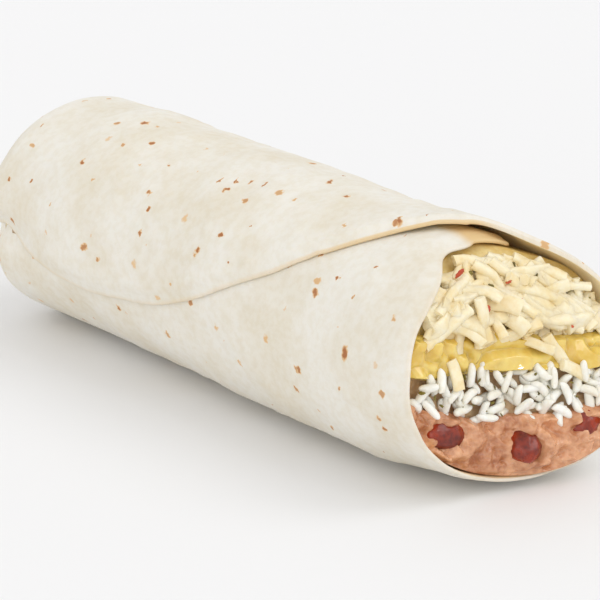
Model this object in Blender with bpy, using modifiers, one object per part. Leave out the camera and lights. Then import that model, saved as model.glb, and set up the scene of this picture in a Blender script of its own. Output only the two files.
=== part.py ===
"""Burrito, open at one end.

One flour tortilla is rolled about one and a third turns round four layers of filling: refried
beans with whole beans in them, rice, chile sauce and shredded cheese. The closed end is tucked
into two soft lobes that meet along a level crease; the open end shows the layers.

Sizes are in millimetres and angles in degrees, and the meshes are written in metres. X runs
along the roll towards the open end, Z is up, and the origin is on the floor under the middle.
An angle round the roll is 0 on the -Y side, 90 on top, 180 on the +Y side and 270 underneath.
The tortilla's own angle goes on counting past 360 where it passes under its outer flap.
"""

import math

import bmesh
import bpy
from mathutils import Vector, noise

MM = 0.001

# Roll
ROLL_Y = -2.0               # the roll's middle line, which the open end leans away from
HALF_WIDTH = 34.0
HALF_HEIGHT = 32.2
END_TAPER = 0.035
TAPER_LIMIT = 1.2
FLARE = 3.2                 # how much wider the open end spreads, each side
FLARE_SHIFT = 1.5           # how far the spread end leans to the +Y side
FLARE_START_X = 16.0
OPEN_LIFT = 3.0             # how far the open end's underside curls off the floor
LIFT_START_X = 51.0
FLOOR_SINK = 2.4            # how far the untrimmed section reaches below the floor
SHOULDER_X = -87.8          # where the closed end begins to round over
OPEN_X = 87.2               # the open rim on the near side
TANGENT_STEP = 0.5

# Tortilla
SHEET_THICKNESS = 1.9
TURN_PITCH = 2.45           # how much deeper the sheet lies after one turn
INNER_EDGE_ANGLE = 475.0
SHEET_COLUMNS = 54
SHEET_ROWS = 12

# Outer flap: its free edge is a shallow arc that climbs from the side to the top
FLAP_LOW_X = -46.8
FLAP_DROP = 6.8
FLAP_RADIUS = 100.0
GIRTH_RADIUS = 32.5
LIP_X = 63.2                # where the flap's edge meets the open rim, on top
LIP_ANGLE = 95.0
RIM_NEAR_SPREAD = 45.0
RIM_FAR_SPREAD = 38.0
NEAR_DIP = 0.17             # extra share of the recess where the near rim slips under the flap
NEAR_DIP_ANGLE = 18.0
NEAR_DIP_SPREAD = 12.0
FAR_REACH = 8.0             # how much further the rim reaches low on the +Y side
FAR_REACH_ANGLE = 225.0
FAR_REACH_SPREAD = 42.0
UNDER_LAYER_REACH = 3.0
UNDER_LAYER_SPREAD = 25.0

# Closed end
LOBE_DEPTH = 12.0
CREASE_DENT = 5.0
CREASE_HEIGHT = 28.0
CREASE_INSET = 10.0
CREASE_HALF_GAP = 0.25
CREASE_SHARPNESS = 6.0
CREASE_MEETING_START = 95.0  # the tucks between which both lobes come out to meet each other
CREASE_MEETING_END = 178.0
TUCK_ANGLES = (0, 20, 40, 60, 80, 105, 140, 180)
INNER_TUCK_LIMIT = 60.0
INNER_TUCK_START = 352.0    # the sheet's own angles between which its tuck grows short
INNER_TUCK_END = 378.0

# Filling
CLEARANCE = 0.3
FACET_ALLOWANCE = 0.35
RIM_ALLOWANCE = 0.7         # more room near the open rim, where the sheet's facets run long
RIM_ALLOWANCE_X = 50.0
SEAM_START = 3.0            # past the inner edge, where the filling swells out to one layer
SEAM_END = 30.0
EDGE_ROUNDS = 3             # passes that settle which row of the sheet lies over a point
CORE_COLUMNS = 36
CORE_ROWS = 13
CORE_TUCKS = (22.0, 11.0, 0.0)
CORE_END_REACH = 3.0
FACE_RINGS = 5
FACE_RECESS = 1.5
FACE_LIFT_LIMIT = 0.9
FACE_LUMP = 1.2
LUMP_SIZE = 9.0
LUMP_SEED = 7.0
CROWN_RECESS = 8.0
CROWN_HEIGHT = 44.0
CROWN_TOP = 60.4
BEAN_BULGE = 4.5
BULGE_HEIGHTS = (24.0, 10.0)
BULGE_SIDES = (-26.0, 6.0)
REACH_HEIGHTS = (46.0, 14.0)
REACH_SIDES = (-10.0, 24.0)
LEVEL_WAVE = 1.3
LEVEL_WAVE_SIZE = 24.0
LAYER_SEED_STEP = 3.0
BLOCK_REACH = 120.0
BLOCK_SIDE = 45.0
BLOCK_COLUMNS = 9
BLOCK_ROWS = 16

# Layers from the bottom up: node, height of its top in the middle, the top's slope across the
# roll, and its rise towards both sides
LAYERS = (
    ("refried_beans", 18.9, -0.10, 7.0),
    ("rice", 29.5, -0.13, 0.0),
    ("chile_sauce", 38.8, -0.17, 0.0),
    ("shredded_cheese", None, 0.0, 0.0),
)

# Whole beans in the open face: node, centre, half sizes, yaw, pitch, roll
WHOLE_BEANS = (
    ("whole_bean_1", (84.2, -20.3, 17.0), (4.2, 7.0, 4.3), 6.0, 0.0, -24.0),
    ("whole_bean_2", (90.0, 0.0, 11.4), (6.5, 4.6, 4.2), -20.0, 0.0, 10.0),
    ("whole_bean_3", (94.0, 17.0, 14.8), (4.4, 5.2, 3.4), 30.0, 0.0, 14.0),
)

BEAN_SEGMENTS = 14
BEAN_BEND = 0.25

FINISHES = {
    "tortilla": ((0.84, 0.80, 0.70), 0.6),
    "refried_beans": ((0.50, 0.22, 0.12), 0.35),
    "rice": ((0.80, 0.79, 0.72), 0.4),
    "chile_sauce": ((0.72, 0.52, 0.10), 0.15),
    "shredded_cheese": ((0.90, 0.84, 0.58), 0.4),
    "whole_bean": ((0.24, 0.04, 0.02), 0.25),
}


def smoothstep(low, high, value):
    """Rise smoothly from 0 at low to 1 at high."""
    t = min(1.0, max(0.0, (value - low) / (high - low)))
    return t * t * (3.0 - 2.0 * t)


def section(x):
    """Return the roll's half width, half height and centre (y, z) at x."""
    middle = (SHOULDER_X + OPEN_X) / 2
    closed = min(TAPER_LIMIT, max(0.0, (middle - x) / (OPEN_X - middle)))
    scale = 1.0 - END_TAPER * closed * closed
    flare = smoothstep(FLARE_START_X, OPEN_X, x)
    lift = OPEN_LIFT * smoothstep(LIFT_START_X, OPEN_X, x)
    half_width = HALF_WIDTH * scale + FLARE * flare
    half_height = HALF_HEIGHT * scale - lift / 2
    centre_y = ROLL_Y + FLARE_SHIFT * flare
    return half_width, half_height, centre_y, half_height - FLOOR_SINK + lift


def roll_point(angle, x):
    """Return the point of the outermost surface at an angle round the roll."""
    half_width, half_height, centre_y, centre_z = section(x)
    a = math.radians(angle)
    return Vector((x, centre_y - half_width * math.cos(a), centre_z + half_height * math.sin(a)))


def tucked_point(angle, tuck):
    """Return a point of the closed end; tuck runs from 0 at the shoulder to 180 at the crease."""
    start = roll_point(angle, SHOULDER_X)
    half_width, half_height, centre_y, _ = section(SHOULDER_X)
    a = math.radians(angle)
    side = math.tanh(CREASE_SHARPNESS * math.sin(a))
    target_y = centre_y - (half_width - CREASE_INSET) * math.cos(a)
    target_z = CREASE_HEIGHT + side * CREASE_HALF_GAP
    reach = Vector((0.0, target_y - start.y, target_z - start.z))
    fullness = math.sqrt(min(1.0, reach.length / half_height))
    t = math.radians(tuck)
    point = start + reach * ((1.0 - math.cos(t)) / 2)
    if tuck <= 90.0:
        point.x -= LOBE_DEPTH * fullness * math.sin(t)
    else:
        point.x -= fullness * (LOBE_DEPTH - CREASE_DENT * (1.0 - math.sin(t)))
    return point


def outer_point(angle, along):
    """Return a surface point; along is the distance past the shoulder, or minus the tuck."""
    if along >= 0.0:
        return roll_point(angle, SHOULDER_X + along)
    return tucked_point(angle, -along)


def layer_point(angle, along, depth):
    """Return the point that lies depth inside the outermost surface, square to it."""
    step = TANGENT_STEP
    round_it = outer_point(angle + step, along) - outer_point(angle - step, along)
    down_it = outer_point(angle, along + step) - outer_point(angle, along - step)
    if along < 0.0 <= along + step:
        down_it = outer_point(angle, along) - outer_point(angle, along - step)
    inward = round_it.cross(down_it).normalized()
    return outer_point(angle, along) + inward * depth


def flap_angle(x):
    """Return the angle of the flap's free edge at x."""
    rise = (x - FLAP_LOW_X) ** 2 / (2 * FLAP_RADIUS) - FLAP_DROP
    return math.degrees(rise / GIRTH_RADIUS)


def rim_x(angle):
    """Return how far the open rim reaches at the tortilla's own angle."""
    past_lip = angle - LIP_ANGLE
    before_lip = LIP_ANGLE + 360.0 - angle
    recess = math.exp(-(past_lip / RIM_FAR_SPREAD) ** 2)
    if before_lip > 0.0:
        dip = (before_lip - NEAR_DIP_ANGLE) / NEAR_DIP_SPREAD
        recess += math.exp(-before_lip / RIM_NEAR_SPREAD) + NEAR_DIP * math.exp(-dip * dip)
    else:
        recess = 1.0
    under = UNDER_LAYER_REACH * smoothstep(-UNDER_LAYER_SPREAD, 0.0, -before_lip)
    far = (angle - FAR_REACH_ANGLE) / FAR_REACH_SPREAD
    reach = FAR_REACH * math.exp(-far * far)
    return OPEN_X - (OPEN_X - LIP_X) * min(1.0, recess) + under + reach


def spiral_depth(angle, edge_angle):
    """Return the depth of the sheet's outer side below the outermost surface."""
    return TURN_PITCH * (angle - edge_angle) / 360.0


def sheet_grid():
    """Return the rows of points of the tortilla's outer side, from the closed end to the rim."""
    rows = []
    first_angle = flap_angle(SHOULDER_X)
    for tuck in reversed(TUCK_ANGLES[1:]):
        row = []
        for i in range(SHEET_COLUMNS + 1):
            angle = first_angle + (INNER_EDGE_ANGLE - first_angle) * i / SHEET_COLUMNS
            outer_share = smoothstep(INNER_TUCK_END, INNER_TUCK_START, angle)
            limit = INNER_TUCK_LIMIT + (180.0 - INNER_TUCK_LIMIT) * outer_share
            along = -tuck * limit / 180.0
            apart = smoothstep(CREASE_MEETING_END, CREASE_MEETING_START, -along)
            row.append(layer_point(angle, along, spiral_depth(angle, first_angle) * apart))
        rows.append(row)
    for j in range(SHEET_ROWS + 1):
        v = j / SHEET_ROWS
        edge_angle = flap_angle(SHOULDER_X + v * (LIP_X - SHOULDER_X))
        rim_edge = flap_angle(LIP_X)
        row = []
        for i in range(SHEET_COLUMNS + 1):
            u = i / SHEET_COLUMNS
            angle = edge_angle + (INNER_EDGE_ANGLE - edge_angle) * u
            rim_angle = rim_edge + (INNER_EDGE_ANGLE - rim_edge) * u
            along = v * (rim_x(rim_angle) - SHOULDER_X)
            row.append(layer_point(angle, along, spiral_depth(angle, edge_angle)))
        rows.append(row)
    for row in rows:
        for point in row:
            point.z = max(point.z, 0.0)
    return rows


def edge_angle_at(angle, x):
    """Return the flap's edge angle on the sheet's row that passes x at the sheet's own angle."""
    edge_angle = flap_angle(min(x, LIP_X))
    rim_edge = flap_angle(LIP_X)
    for _ in range(EDGE_ROUNDS):
        u = (angle - edge_angle) / (INNER_EDGE_ANGLE - edge_angle)
        rim_angle = rim_edge + (INNER_EDGE_ANGLE - rim_edge) * u
        v = min(1.0, (x - SHOULDER_X) / (rim_x(rim_angle) - SHOULDER_X))
        edge_angle = flap_angle(SHOULDER_X + v * (LIP_X - SHOULDER_X))
    return edge_angle


def core_depth(angle, x):
    """Return how deep the filling's skin lies, just inside the tortilla's innermost layer."""
    last = INNER_EDGE_ANGLE - 360.0
    two_layers = 1.0 - smoothstep(last + SEAM_START, last + SEAM_END, angle)
    one = spiral_depth(angle, edge_angle_at(angle, x))
    two = spiral_depth(angle + 360.0, edge_angle_at(angle + 360.0, x))
    room = CLEARANCE + FACET_ALLOWANCE + RIM_ALLOWANCE * smoothstep(RIM_ALLOWANCE_X, OPEN_X, x)
    return one + (two - one) * two_layers + SHEET_THICKNESS + room


def core_point(angle, along):
    """Return a point of the filling's skin."""
    x = SHOULDER_X + max(0.0, along)
    point = layer_point(angle, along, core_depth(angle, x))
    point.z = max(point.z, SHEET_THICKNESS + CLEARANCE)
    return point


def face_x(y, z):
    """Return where the filling's open face stands: flush with the near wall, fuller low down."""
    _, half_height, _, centre_z = section(OPEN_X)
    lift = max(-FACE_LIFT_LIMIT, min(FACE_LIFT_LIMIT, (z - centre_z) / half_height))
    rim = rim_x(360.0 + math.degrees(math.asin(lift)))
    crown = CROWN_RECESS * smoothstep(CROWN_HEIGHT, CROWN_TOP, z)
    bulge = BEAN_BULGE * smoothstep(*BULGE_HEIGHTS, z) * smoothstep(*BULGE_SIDES, y)
    bulge += FAR_REACH * smoothstep(*REACH_HEIGHTS, z) * smoothstep(*REACH_SIDES, y)
    lump = FACE_LUMP * noise.noise(Vector((LUMP_SEED, y / LUMP_SIZE, z / LUMP_SIZE)))
    return rim - FACE_RECESS - crown + bulge + lump


def level(layer, x, y):
    """Return the height of a layer's top."""
    _, middle, slope, rise = LAYERS[layer]
    side = y / HALF_WIDTH
    place = Vector((x / LEVEL_WAVE_SIZE, y / LEVEL_WAVE_SIZE, LAYER_SEED_STEP * layer))
    return middle + slope * y + rise * side * side + LEVEL_WAVE * noise.noise(place)


def make_object(name, mesh, collection, finish=None):
    """Wrap a mesh as an object of a collection, with its finish."""
    obj = bpy.data.objects.new(name, mesh)
    collection.objects.link(obj)
    if finish:
        mesh.materials.append(make_material(finish))
    return obj


def make_material(name):
    """Return the named Principled material, made once."""
    if name in bpy.data.materials:
        return bpy.data.materials[name]
    colour, roughness = FINISHES[name]
    material = bpy.data.materials.new(name)
    material.use_nodes = True
    shader = material.node_tree.nodes["Principled BSDF"]
    shader.inputs["Base Color"].default_value = (*colour, 1.0)
    shader.inputs["Roughness"].default_value = roughness
    shader.inputs["Metallic"].default_value = 0.0
    return material


def add_rows(bm, rows):
    """Add rows of points to the mesh and return them as rows of vertices."""
    return [[bm.verts.new(point * MM) for point in row] for row in rows]


def add_strips(bm, rows, closed):
    """Join neighbouring rows of vertices by triangles; closed rows wrap round."""
    for lower, upper in zip(rows, rows[1:]):
        count = len(lower)
        for i in range(count if closed else count - 1):
            k = (i + 1) % count
            bm.faces.new((lower[i], lower[k], upper[k]))
            bm.faces.new((lower[i], upper[k], upper[i]))


def finish_mesh(bm, name):
    """Turn the faces outward, and return them as a smooth mesh."""
    bmesh.ops.recalc_face_normals(bm, faces=bm.faces)
    mesh = bpy.data.meshes.new(name)
    bm.to_mesh(mesh)
    bm.free()
    mesh.shade_smooth()
    return mesh


def make_tortilla(collection):
    """Make the rolled tortilla: its outer side as an open sheet, thickened inward."""
    bm = bmesh.new()
    rows = add_rows(bm, sheet_grid())
    for lower, upper in zip(rows, rows[1:]):
        for i in range(SHEET_COLUMNS):
            bm.faces.new((lower[i], upper[i], upper[i + 1], lower[i + 1]))
    mesh = bpy.data.meshes.new("tortilla")
    bm.to_mesh(mesh)
    bm.free()
    mesh.shade_smooth()
    obj = make_object("tortilla", mesh, collection, "tortilla")
    shell = obj.modifiers.new("Thickness", "SOLIDIFY")
    shell.thickness = SHEET_THICKNESS * MM
    shell.offset = -1.0
    shell.use_even_offset = True
    return obj


def make_core(collection):
    """Make the filling's whole outline, which trims every layer."""
    angles = [360.0 * i / CORE_COLUMNS for i in range(CORE_COLUMNS)]
    rows = [[core_point(a, -tuck) for a in angles] for tuck in CORE_TUCKS]
    skin = [core_point(a, OPEN_X - SHOULDER_X) for a in angles]
    ends = [face_x(p.y, p.z) - SHOULDER_X for p in skin]
    for j in range(1, CORE_ROWS + 1):
        rows.append([core_point(a, end * j / CORE_ROWS) for a, end in zip(angles, ends)])
    middle = Vector((0.0, *section(OPEN_X)[2:]))
    for ring in range(1, FACE_RINGS):
        shrink = 1.0 - ring / FACE_RINGS
        row = []
        for edge in rows[len(CORE_TUCKS) + CORE_ROWS - 1]:
            y = middle.y + (edge.y - middle.y) * shrink
            z = middle.z + (edge.z - middle.z) * shrink
            row.append(Vector((face_x(y, z), y, z)))
        rows.append(row)
    bm = bmesh.new()
    verts = add_rows(bm, rows)
    add_strips(bm, verts, closed=True)
    close_fan(bm, verts[0], Vector((SHOULDER_X - CORE_END_REACH, ROLL_Y, CREASE_HEIGHT)))
    close_fan(bm, verts[-1], Vector((face_x(middle.y, middle.z), middle.y, middle.z)))
    return make_object("filling_outline", finish_mesh(bm, "filling_outline"), collection)


def close_fan(bm, loop, centre):
    """Close a loop of vertices with a fan round a centre point."""
    hub = bm.verts.new(centre * MM)
    for i, vert in enumerate(loop):
        bm.faces.new((hub, vert, loop[(i + 1) % len(loop)]))


def make_layer(index, core, collection):
    """Make one layer of filling: a block between two wavy levels, trimmed by the outline."""
    name = LAYERS[index][0]
    xs = [BLOCK_REACH * (2 * i / BLOCK_ROWS - 1) for i in range(BLOCK_ROWS + 1)]
    ys = [BLOCK_SIDE * (2 * i / BLOCK_COLUMNS - 1) for i in range(BLOCK_COLUMNS + 1)]
    top = index == len(LAYERS) - 1
    bm = bmesh.new()
    grids = []
    for side in (0, 1):
        rows = []
        for x in xs:
            row = []
            for y in ys:
                if side == 0:
                    z = level(index - 1, x, y) + CLEARANCE if index else -BLOCK_SIDE
                else:
                    z = 2 * BLOCK_SIDE if top else level(index, x, y)
                row.append(Vector((x, y, z)))
            rows.append(row)
        grids.append(add_rows(bm, rows))
    for grid in grids:
        add_strips(bm, grid, closed=False)
    loops = [grid_border(grid) for grid in grids]
    add_strips(bm, loops, closed=True)
    obj = make_object(name, finish_mesh(bm, name), collection, name)
    trim = obj.modifiers.new("Outline", "BOOLEAN")
    trim.operation = "INTERSECT"
    trim.solver = "EXACT"
    trim.object = core
    return obj


def grid_border(grid):
    """Return the border of a grid of vertices as one loop."""
    near = grid[0]
    far = grid[-1]
    right = [row[-1] for row in grid[1:-1]]
    left = [row[0] for row in grid[1:-1]]
    return near + right + far[::-1] + left[::-1]


def bean_mesh(name, half_sizes):
    """Make a bean: an ellipsoid bent a little along its length."""
    bm = bmesh.new()
    bmesh.ops.create_uvsphere(bm, u_segments=BEAN_SEGMENTS, v_segments=BEAN_SEGMENTS // 2,
                              radius=1.0)
    longest = max(range(2), key=lambda axis: half_sizes[axis])
    for vert in bm.verts:
        bend = BEAN_BEND * vert.co[longest] ** 2
        vert.co = Vector(half * c * MM for half, c in zip(half_sizes, vert.co))
        vert.co.z -= bend * half_sizes[2] * MM
    return finish_mesh(bm, name)


def make_whole_bean(spec, mash, collection, cutters):
    """Make a whole bean and clear its place in the mashed beans."""
    name, centre, half_sizes, yaw, pitch, roll = spec
    turn = [math.radians(a) for a in (roll, pitch, yaw)]
    bean = make_object(name, bean_mesh(name, half_sizes), collection, "whole_bean")
    cleared = [half + CLEARANCE for half in half_sizes]
    cutter = make_object(name + "_hollow", bean_mesh(name + "_hollow", cleared), cutters)
    for obj in (bean, cutter):
        obj.location = Vector(centre) * MM
        obj.rotation_euler = turn
    cut = mash.modifiers.new(name, "BOOLEAN")
    cut.operation = "DIFFERENCE"
    cut.solver = "EXACT"
    cut.object = cutter


def main():
    """Build the burrito from nothing."""
    for obj in list(bpy.data.objects):
        bpy.data.objects.remove(obj, do_unlink=True)
    burrito = bpy.data.collections.new("burrito")
    cutters = bpy.data.collections.new("burrito_cutters")
    for collection in (burrito, cutters):
        bpy.context.scene.collection.children.link(collection)
    make_tortilla(burrito)
    core = make_core(cutters)
    layers = [make_layer(i, core, burrito) for i in range(len(LAYERS))]
    for spec in WHOLE_BEANS:
        make_whole_bean(spec, layers[0], burrito, cutters)
    for obj in cutters.objects:
        obj.hide_render = True
        obj.display_type = "WIRE"


main()
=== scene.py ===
"""The looks of a burrito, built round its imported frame.

The CAD nodes give the place and the form of every layer. Each of them is replaced here by a
finer piece: the rolled tortilla with its toast marks, mashed beans with whole beans, rice,
chile sauce and shredded cheese. Grains, shreds, herbs and chilli flakes are scattered over the
open face by Geometry Nodes. Lengths are in millimetres and angles in degrees until a mesh is
written, which is in metres.
"""

import logging
import math
from dataclasses import dataclass, field
from enum import Enum
from typing import Any, Callable, Sequence

import bmesh
import bpy
import numpy as np
from mathutils import Euler, Matrix, Vector, noise


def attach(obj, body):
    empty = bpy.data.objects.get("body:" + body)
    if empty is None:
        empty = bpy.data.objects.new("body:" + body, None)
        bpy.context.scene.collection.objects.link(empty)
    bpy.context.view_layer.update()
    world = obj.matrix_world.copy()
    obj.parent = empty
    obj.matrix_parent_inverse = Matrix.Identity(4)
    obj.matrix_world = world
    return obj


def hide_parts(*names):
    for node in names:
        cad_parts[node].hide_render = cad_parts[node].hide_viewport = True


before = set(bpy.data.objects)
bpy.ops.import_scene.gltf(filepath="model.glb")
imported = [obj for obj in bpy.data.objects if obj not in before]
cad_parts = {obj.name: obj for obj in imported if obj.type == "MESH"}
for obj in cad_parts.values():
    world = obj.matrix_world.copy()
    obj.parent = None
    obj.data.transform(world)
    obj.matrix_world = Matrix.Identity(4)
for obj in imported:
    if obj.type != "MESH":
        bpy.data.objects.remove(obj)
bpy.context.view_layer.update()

log = logging.getLogger("burrito")

MM = 0.001
BODY = "root"
Colour = tuple[float, float, float]

SHEET_UNIT = 0.01          # the sheet's own coordinates count 100 mm as one
TUCK_ARC = 42.0            # how much of the sheet's length goes round the closed end
MERGE = 0.004              # corners closer than this become one
TANGENT_STEP = 0.5
INNER_TUCK_START = 352.0   # the sheet's own angles between which its tuck grows short
INNER_TUCK_END = 378.0
SEAM_START = 3.0           # past the inner edge, where the filling swells out to one layer
SEAM_END = 30.0
UNDER_SPREAD = 25.0
FACE_LIFT_LIMIT = 0.9
MEETING_TUCKS = (178.0, 95.0)
LOBE_ANGLE = -32.0         # the lower lobe of the closed end
LOBE_SPREAD = 20.0
LOBE_START = -58.0
LOBE_END = -86.0
LAYER_OVERRUN = 2.0        # how far a layer stops short of the shoulder
THINNEST_LAYER = 0.02


# ---- small helpers


def smoothstep(low: float, high: float, value: Any) -> Any:
    """Rise smoothly from 0 at low to 1 at high; works on numbers and on arrays."""
    t = np.clip((value - low) / (high - low), 0.0, 1.0)
    return t * t * (3.0 - 2.0 * t)


def noise_at(points: np.ndarray, size: float, seed: float = 0.0) -> np.ndarray:
    """Sample smooth noise at points.

    Args:
        points: The places, one to a row.
        size: The size of one bump.
        seed: A shift that picks another pattern.

    Returns:
        Values between about -1 and 1.
    """
    shift = Vector((seed * 7.3, seed * 3.1, seed * 5.7))
    return np.array([noise.noise(Vector(p) / size + shift) for p in points])


def srgb(red: int, green: int, blue: int) -> Colour:
    """Return the linear colour of a display colour given in 0 to 255."""
    def channel(value: int) -> float:
        """Turn one display channel into a linear one."""
        v = value / 255.0
        return v / 12.92 if v <= 0.04045 else ((v + 0.055) / 1.055) ** 2.4
    return channel(red), channel(green), channel(blue)


def mesh_object(name: str, points: np.ndarray, faces: Sequence[Sequence[int]]) -> bpy.types.Object:
    """Make a smooth-shaded mesh object from points in millimetres.

    Args:
        name: The piece's name.
        points: The vertices, one to a row.
        faces: The faces as lists of vertex numbers.

    Returns:
        The linked object, at the origin.
    """
    mesh = bpy.data.meshes.new(name)
    mesh.from_pydata((np.asarray(points) * MM).tolist(), [], [list(f) for f in faces])
    mesh.validate()
    mesh.shade_smooth()
    obj = bpy.data.objects.new(name, mesh)
    bpy.context.scene.collection.objects.link(obj)
    return obj


def set_attribute(mesh: bpy.types.Mesh, name: str, values: np.ndarray, kind: str) -> None:
    """Store one value for each vertex; kind is FLOAT, INT or FLOAT_VECTOR."""
    attribute = mesh.attributes.new(name, kind, "POINT")
    key = "vector" if kind == "FLOAT_VECTOR" else "value"
    attribute.data.foreach_set(key, np.asarray(values).ravel())


# ---- the rolled form


@dataclass(frozen=True)
class RollShape:
    """The rolled form that the tortilla and the layers of filling share.

    An angle round the roll is 0 on the -Y side, 90 on top, 180 on the +Y side and 270
    underneath. Along the roll, a positive distance is measured from the shoulder of the closed
    end towards the open end, and a negative one is the tuck angle over the closed end.
    """

    roll_y: float = -2.0
    half_width: float = 34.0
    half_height: float = 32.2
    end_taper: float = 0.035
    flare: float = 3.2
    flare_shift: float = 1.5
    flare_start_x: float = 16.0
    open_lift: float = 3.0
    lift_start_x: float = 51.0
    floor_sink: float = 2.4
    shoulder_x: float = -87.8
    open_x: float = 87.2
    thickness: float = 1.9
    turn_pitch: float = 2.45
    inner_edge_angle: float = 475.0
    flap_low_x: float = -46.8
    flap_drop: float = 6.8
    flap_radius: float = 100.0
    girth_radius: float = 32.5
    lip_x: float = 63.2
    lip_angle: float = 95.0
    rim_near_spread: float = 45.0
    rim_far_spread: float = 38.0
    near_dip: float = 0.17
    near_dip_angle: float = 18.0
    near_dip_spread: float = 12.0
    far_reach: float = 8.0
    far_reach_angle: float = 225.0
    far_reach_spread: float = 42.0
    under_reach: float = 3.0
    lobe_depth: float = 12.0
    crease_dent: float = 5.0
    crease_height: float = 28.0
    crease_inset: float = 10.0
    crease_half_gap: float = 0.05
    crease_sharpness: float = 6.0
    inner_tuck_limit: float = 60.0

    def section(self, x: np.ndarray) -> tuple[np.ndarray, ...]:
        """Return the half width, half height and centre (y, z) at x."""
        middle = (self.shoulder_x + self.open_x) / 2
        closed = np.clip((middle - x) / (self.open_x - middle), 0.0, 1.2)
        scale = 1.0 - self.end_taper * closed * closed
        flare = smoothstep(self.flare_start_x, self.open_x, x)
        lift = self.open_lift * smoothstep(self.lift_start_x, self.open_x, x)
        half_width = self.half_width * scale + self.flare * flare
        half_height = self.half_height * scale - lift / 2
        centre_y = self.roll_y + self.flare_shift * flare
        return half_width, half_height, centre_y, half_height - self.floor_sink + lift

    def roll_points(self, angle: np.ndarray, x: np.ndarray) -> np.ndarray:
        """Return points of the outermost surface along the straight part."""
        half_width, half_height, centre_y, centre_z = self.section(x)
        a = np.radians(angle)
        y = centre_y - half_width * np.cos(a)
        return np.stack([x + 0 * y, y, centre_z + half_height * np.sin(a)], axis=-1)

    def tucked_points(self, angle: np.ndarray, tuck: np.ndarray, whole_flap: Any) -> np.ndarray:
        """Return points of the closed end.

        Args:
            angle: Angles round the roll.
            tuck: 0 at the shoulder and 180 at the crease.
            whole_flap: True where the point belongs to the flap, which stays above the crease.

        Returns:
            The points, one to a row.
        """
        start = self.roll_points(angle, np.full_like(angle, self.shoulder_x))
        half_width, half_height, centre_y, _ = self.section(np.array(self.shoulder_x))
        a = np.radians(angle)
        side = np.where(whole_flap, 1.0, np.tanh(self.crease_sharpness * np.sin(a)))
        reach_y = centre_y - (half_width - self.crease_inset) * np.cos(a) - start[..., 1]
        reach_z = self.crease_height + side * self.crease_half_gap - start[..., 2]
        fullness = np.sqrt(np.minimum(1.0, np.hypot(reach_y, reach_z) / half_height))
        t = np.radians(tuck)
        share = (1.0 - np.cos(t)) / 2
        rising = self.lobe_depth * np.sin(t)
        dented = self.lobe_depth - self.crease_dent * (1.0 - np.sin(t))
        points = start.copy()
        points[..., 0] -= fullness * np.where(tuck <= 90.0, rising, dented)
        points[..., 1] += reach_y * share
        points[..., 2] += reach_z * share
        return points

    def outer_points(self, angle: np.ndarray, along: np.ndarray, flap: Any) -> np.ndarray:
        """Return outermost points at a distance along, or minus a tuck angle."""
        straight = self.roll_points(angle, self.shoulder_x + np.maximum(along, 0.0))
        tucked = self.tucked_points(angle, np.maximum(-along, 0.0), flap)
        return np.where((along >= 0.0)[..., None], straight, tucked)

    def inward(self, angle: np.ndarray, along: np.ndarray, flap: Any = False) -> np.ndarray:
        """Return the unit directions that point square into the roll."""
        step = TANGENT_STEP
        later = np.where((along < 0.0) & (along + step >= 0.0), along, along + step)
        round_it = (self.outer_points(angle + step, along, flap)
                    - self.outer_points(angle - step, along, flap))
        down_it = self.outer_points(angle, later, flap) - self.outer_points(angle, along - step, flap)
        down_it = np.where((along >= 0.0)[..., None],
                           self.outer_points(angle, along + step, flap)
                           - self.outer_points(angle, along, flap), down_it)
        cross = np.cross(round_it, down_it)
        return cross / np.linalg.norm(cross, axis=-1, keepdims=True)

    def flap_angle(self, x: np.ndarray) -> np.ndarray:
        """Return the angle of the flap's free edge at x."""
        rise = (x - self.flap_low_x) ** 2 / (2 * self.flap_radius) - self.flap_drop
        return np.degrees(rise / self.girth_radius)

    def rim_x(self, angle: np.ndarray) -> np.ndarray:
        """Return how far the open rim reaches at the tortilla's own angle."""
        past_lip = angle - self.lip_angle
        before_lip = self.lip_angle + 360.0 - angle
        dip = (before_lip - self.near_dip_angle) / self.near_dip_spread
        near = (np.exp(-np.maximum(before_lip, 0.0) / self.rim_near_spread)
                + self.near_dip * np.exp(-dip * dip))
        recess = np.exp(-(past_lip / self.rim_far_spread) ** 2) + near
        recess = np.where(before_lip > 0.0, np.minimum(1.0, recess), 1.0)
        under = self.under_reach * smoothstep(-UNDER_SPREAD, 0.0, -before_lip)
        far = (angle - self.far_reach_angle) / self.far_reach_spread
        reach = self.far_reach * np.exp(-far * far)
        return self.open_x - (self.open_x - self.lip_x) * recess + under + reach

    def spiral_depth(self, angle: np.ndarray, edge_angle: np.ndarray) -> np.ndarray:
        """Return the depth of the sheet's outer side below the outermost surface."""
        return self.turn_pitch * (angle - edge_angle) / 360.0

    def cavity(self, angle: np.ndarray, x: np.ndarray, room: float) -> np.ndarray:
        """Return points just inside the tortilla's innermost layer.

        Args:
            angle: Angles from 0 to 360.
            x: Places along the roll.
            room: The gap kept to the tortilla.

        Returns:
            The points, one to a row.
        """
        x = np.broadcast_to(np.asarray(x, dtype=float), angle.shape)
        edge = self.flap_angle(np.minimum(x, self.lip_x))
        last = self.inner_edge_angle - 360.0
        two_layers = 1.0 - smoothstep(last + SEAM_START, last + SEAM_END, angle)
        one = self.spiral_depth(angle, edge)
        depth = one + self.turn_pitch * two_layers + self.thickness + room
        along = x - self.shoulder_x
        points = self.outer_points(angle, along, False) + self.inward(angle, along) * depth[..., None]
        points[..., 2] = np.maximum(points[..., 2], self.thickness + room)
        return points


SHAPE = RollShape()


# ---- node graphs


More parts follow.
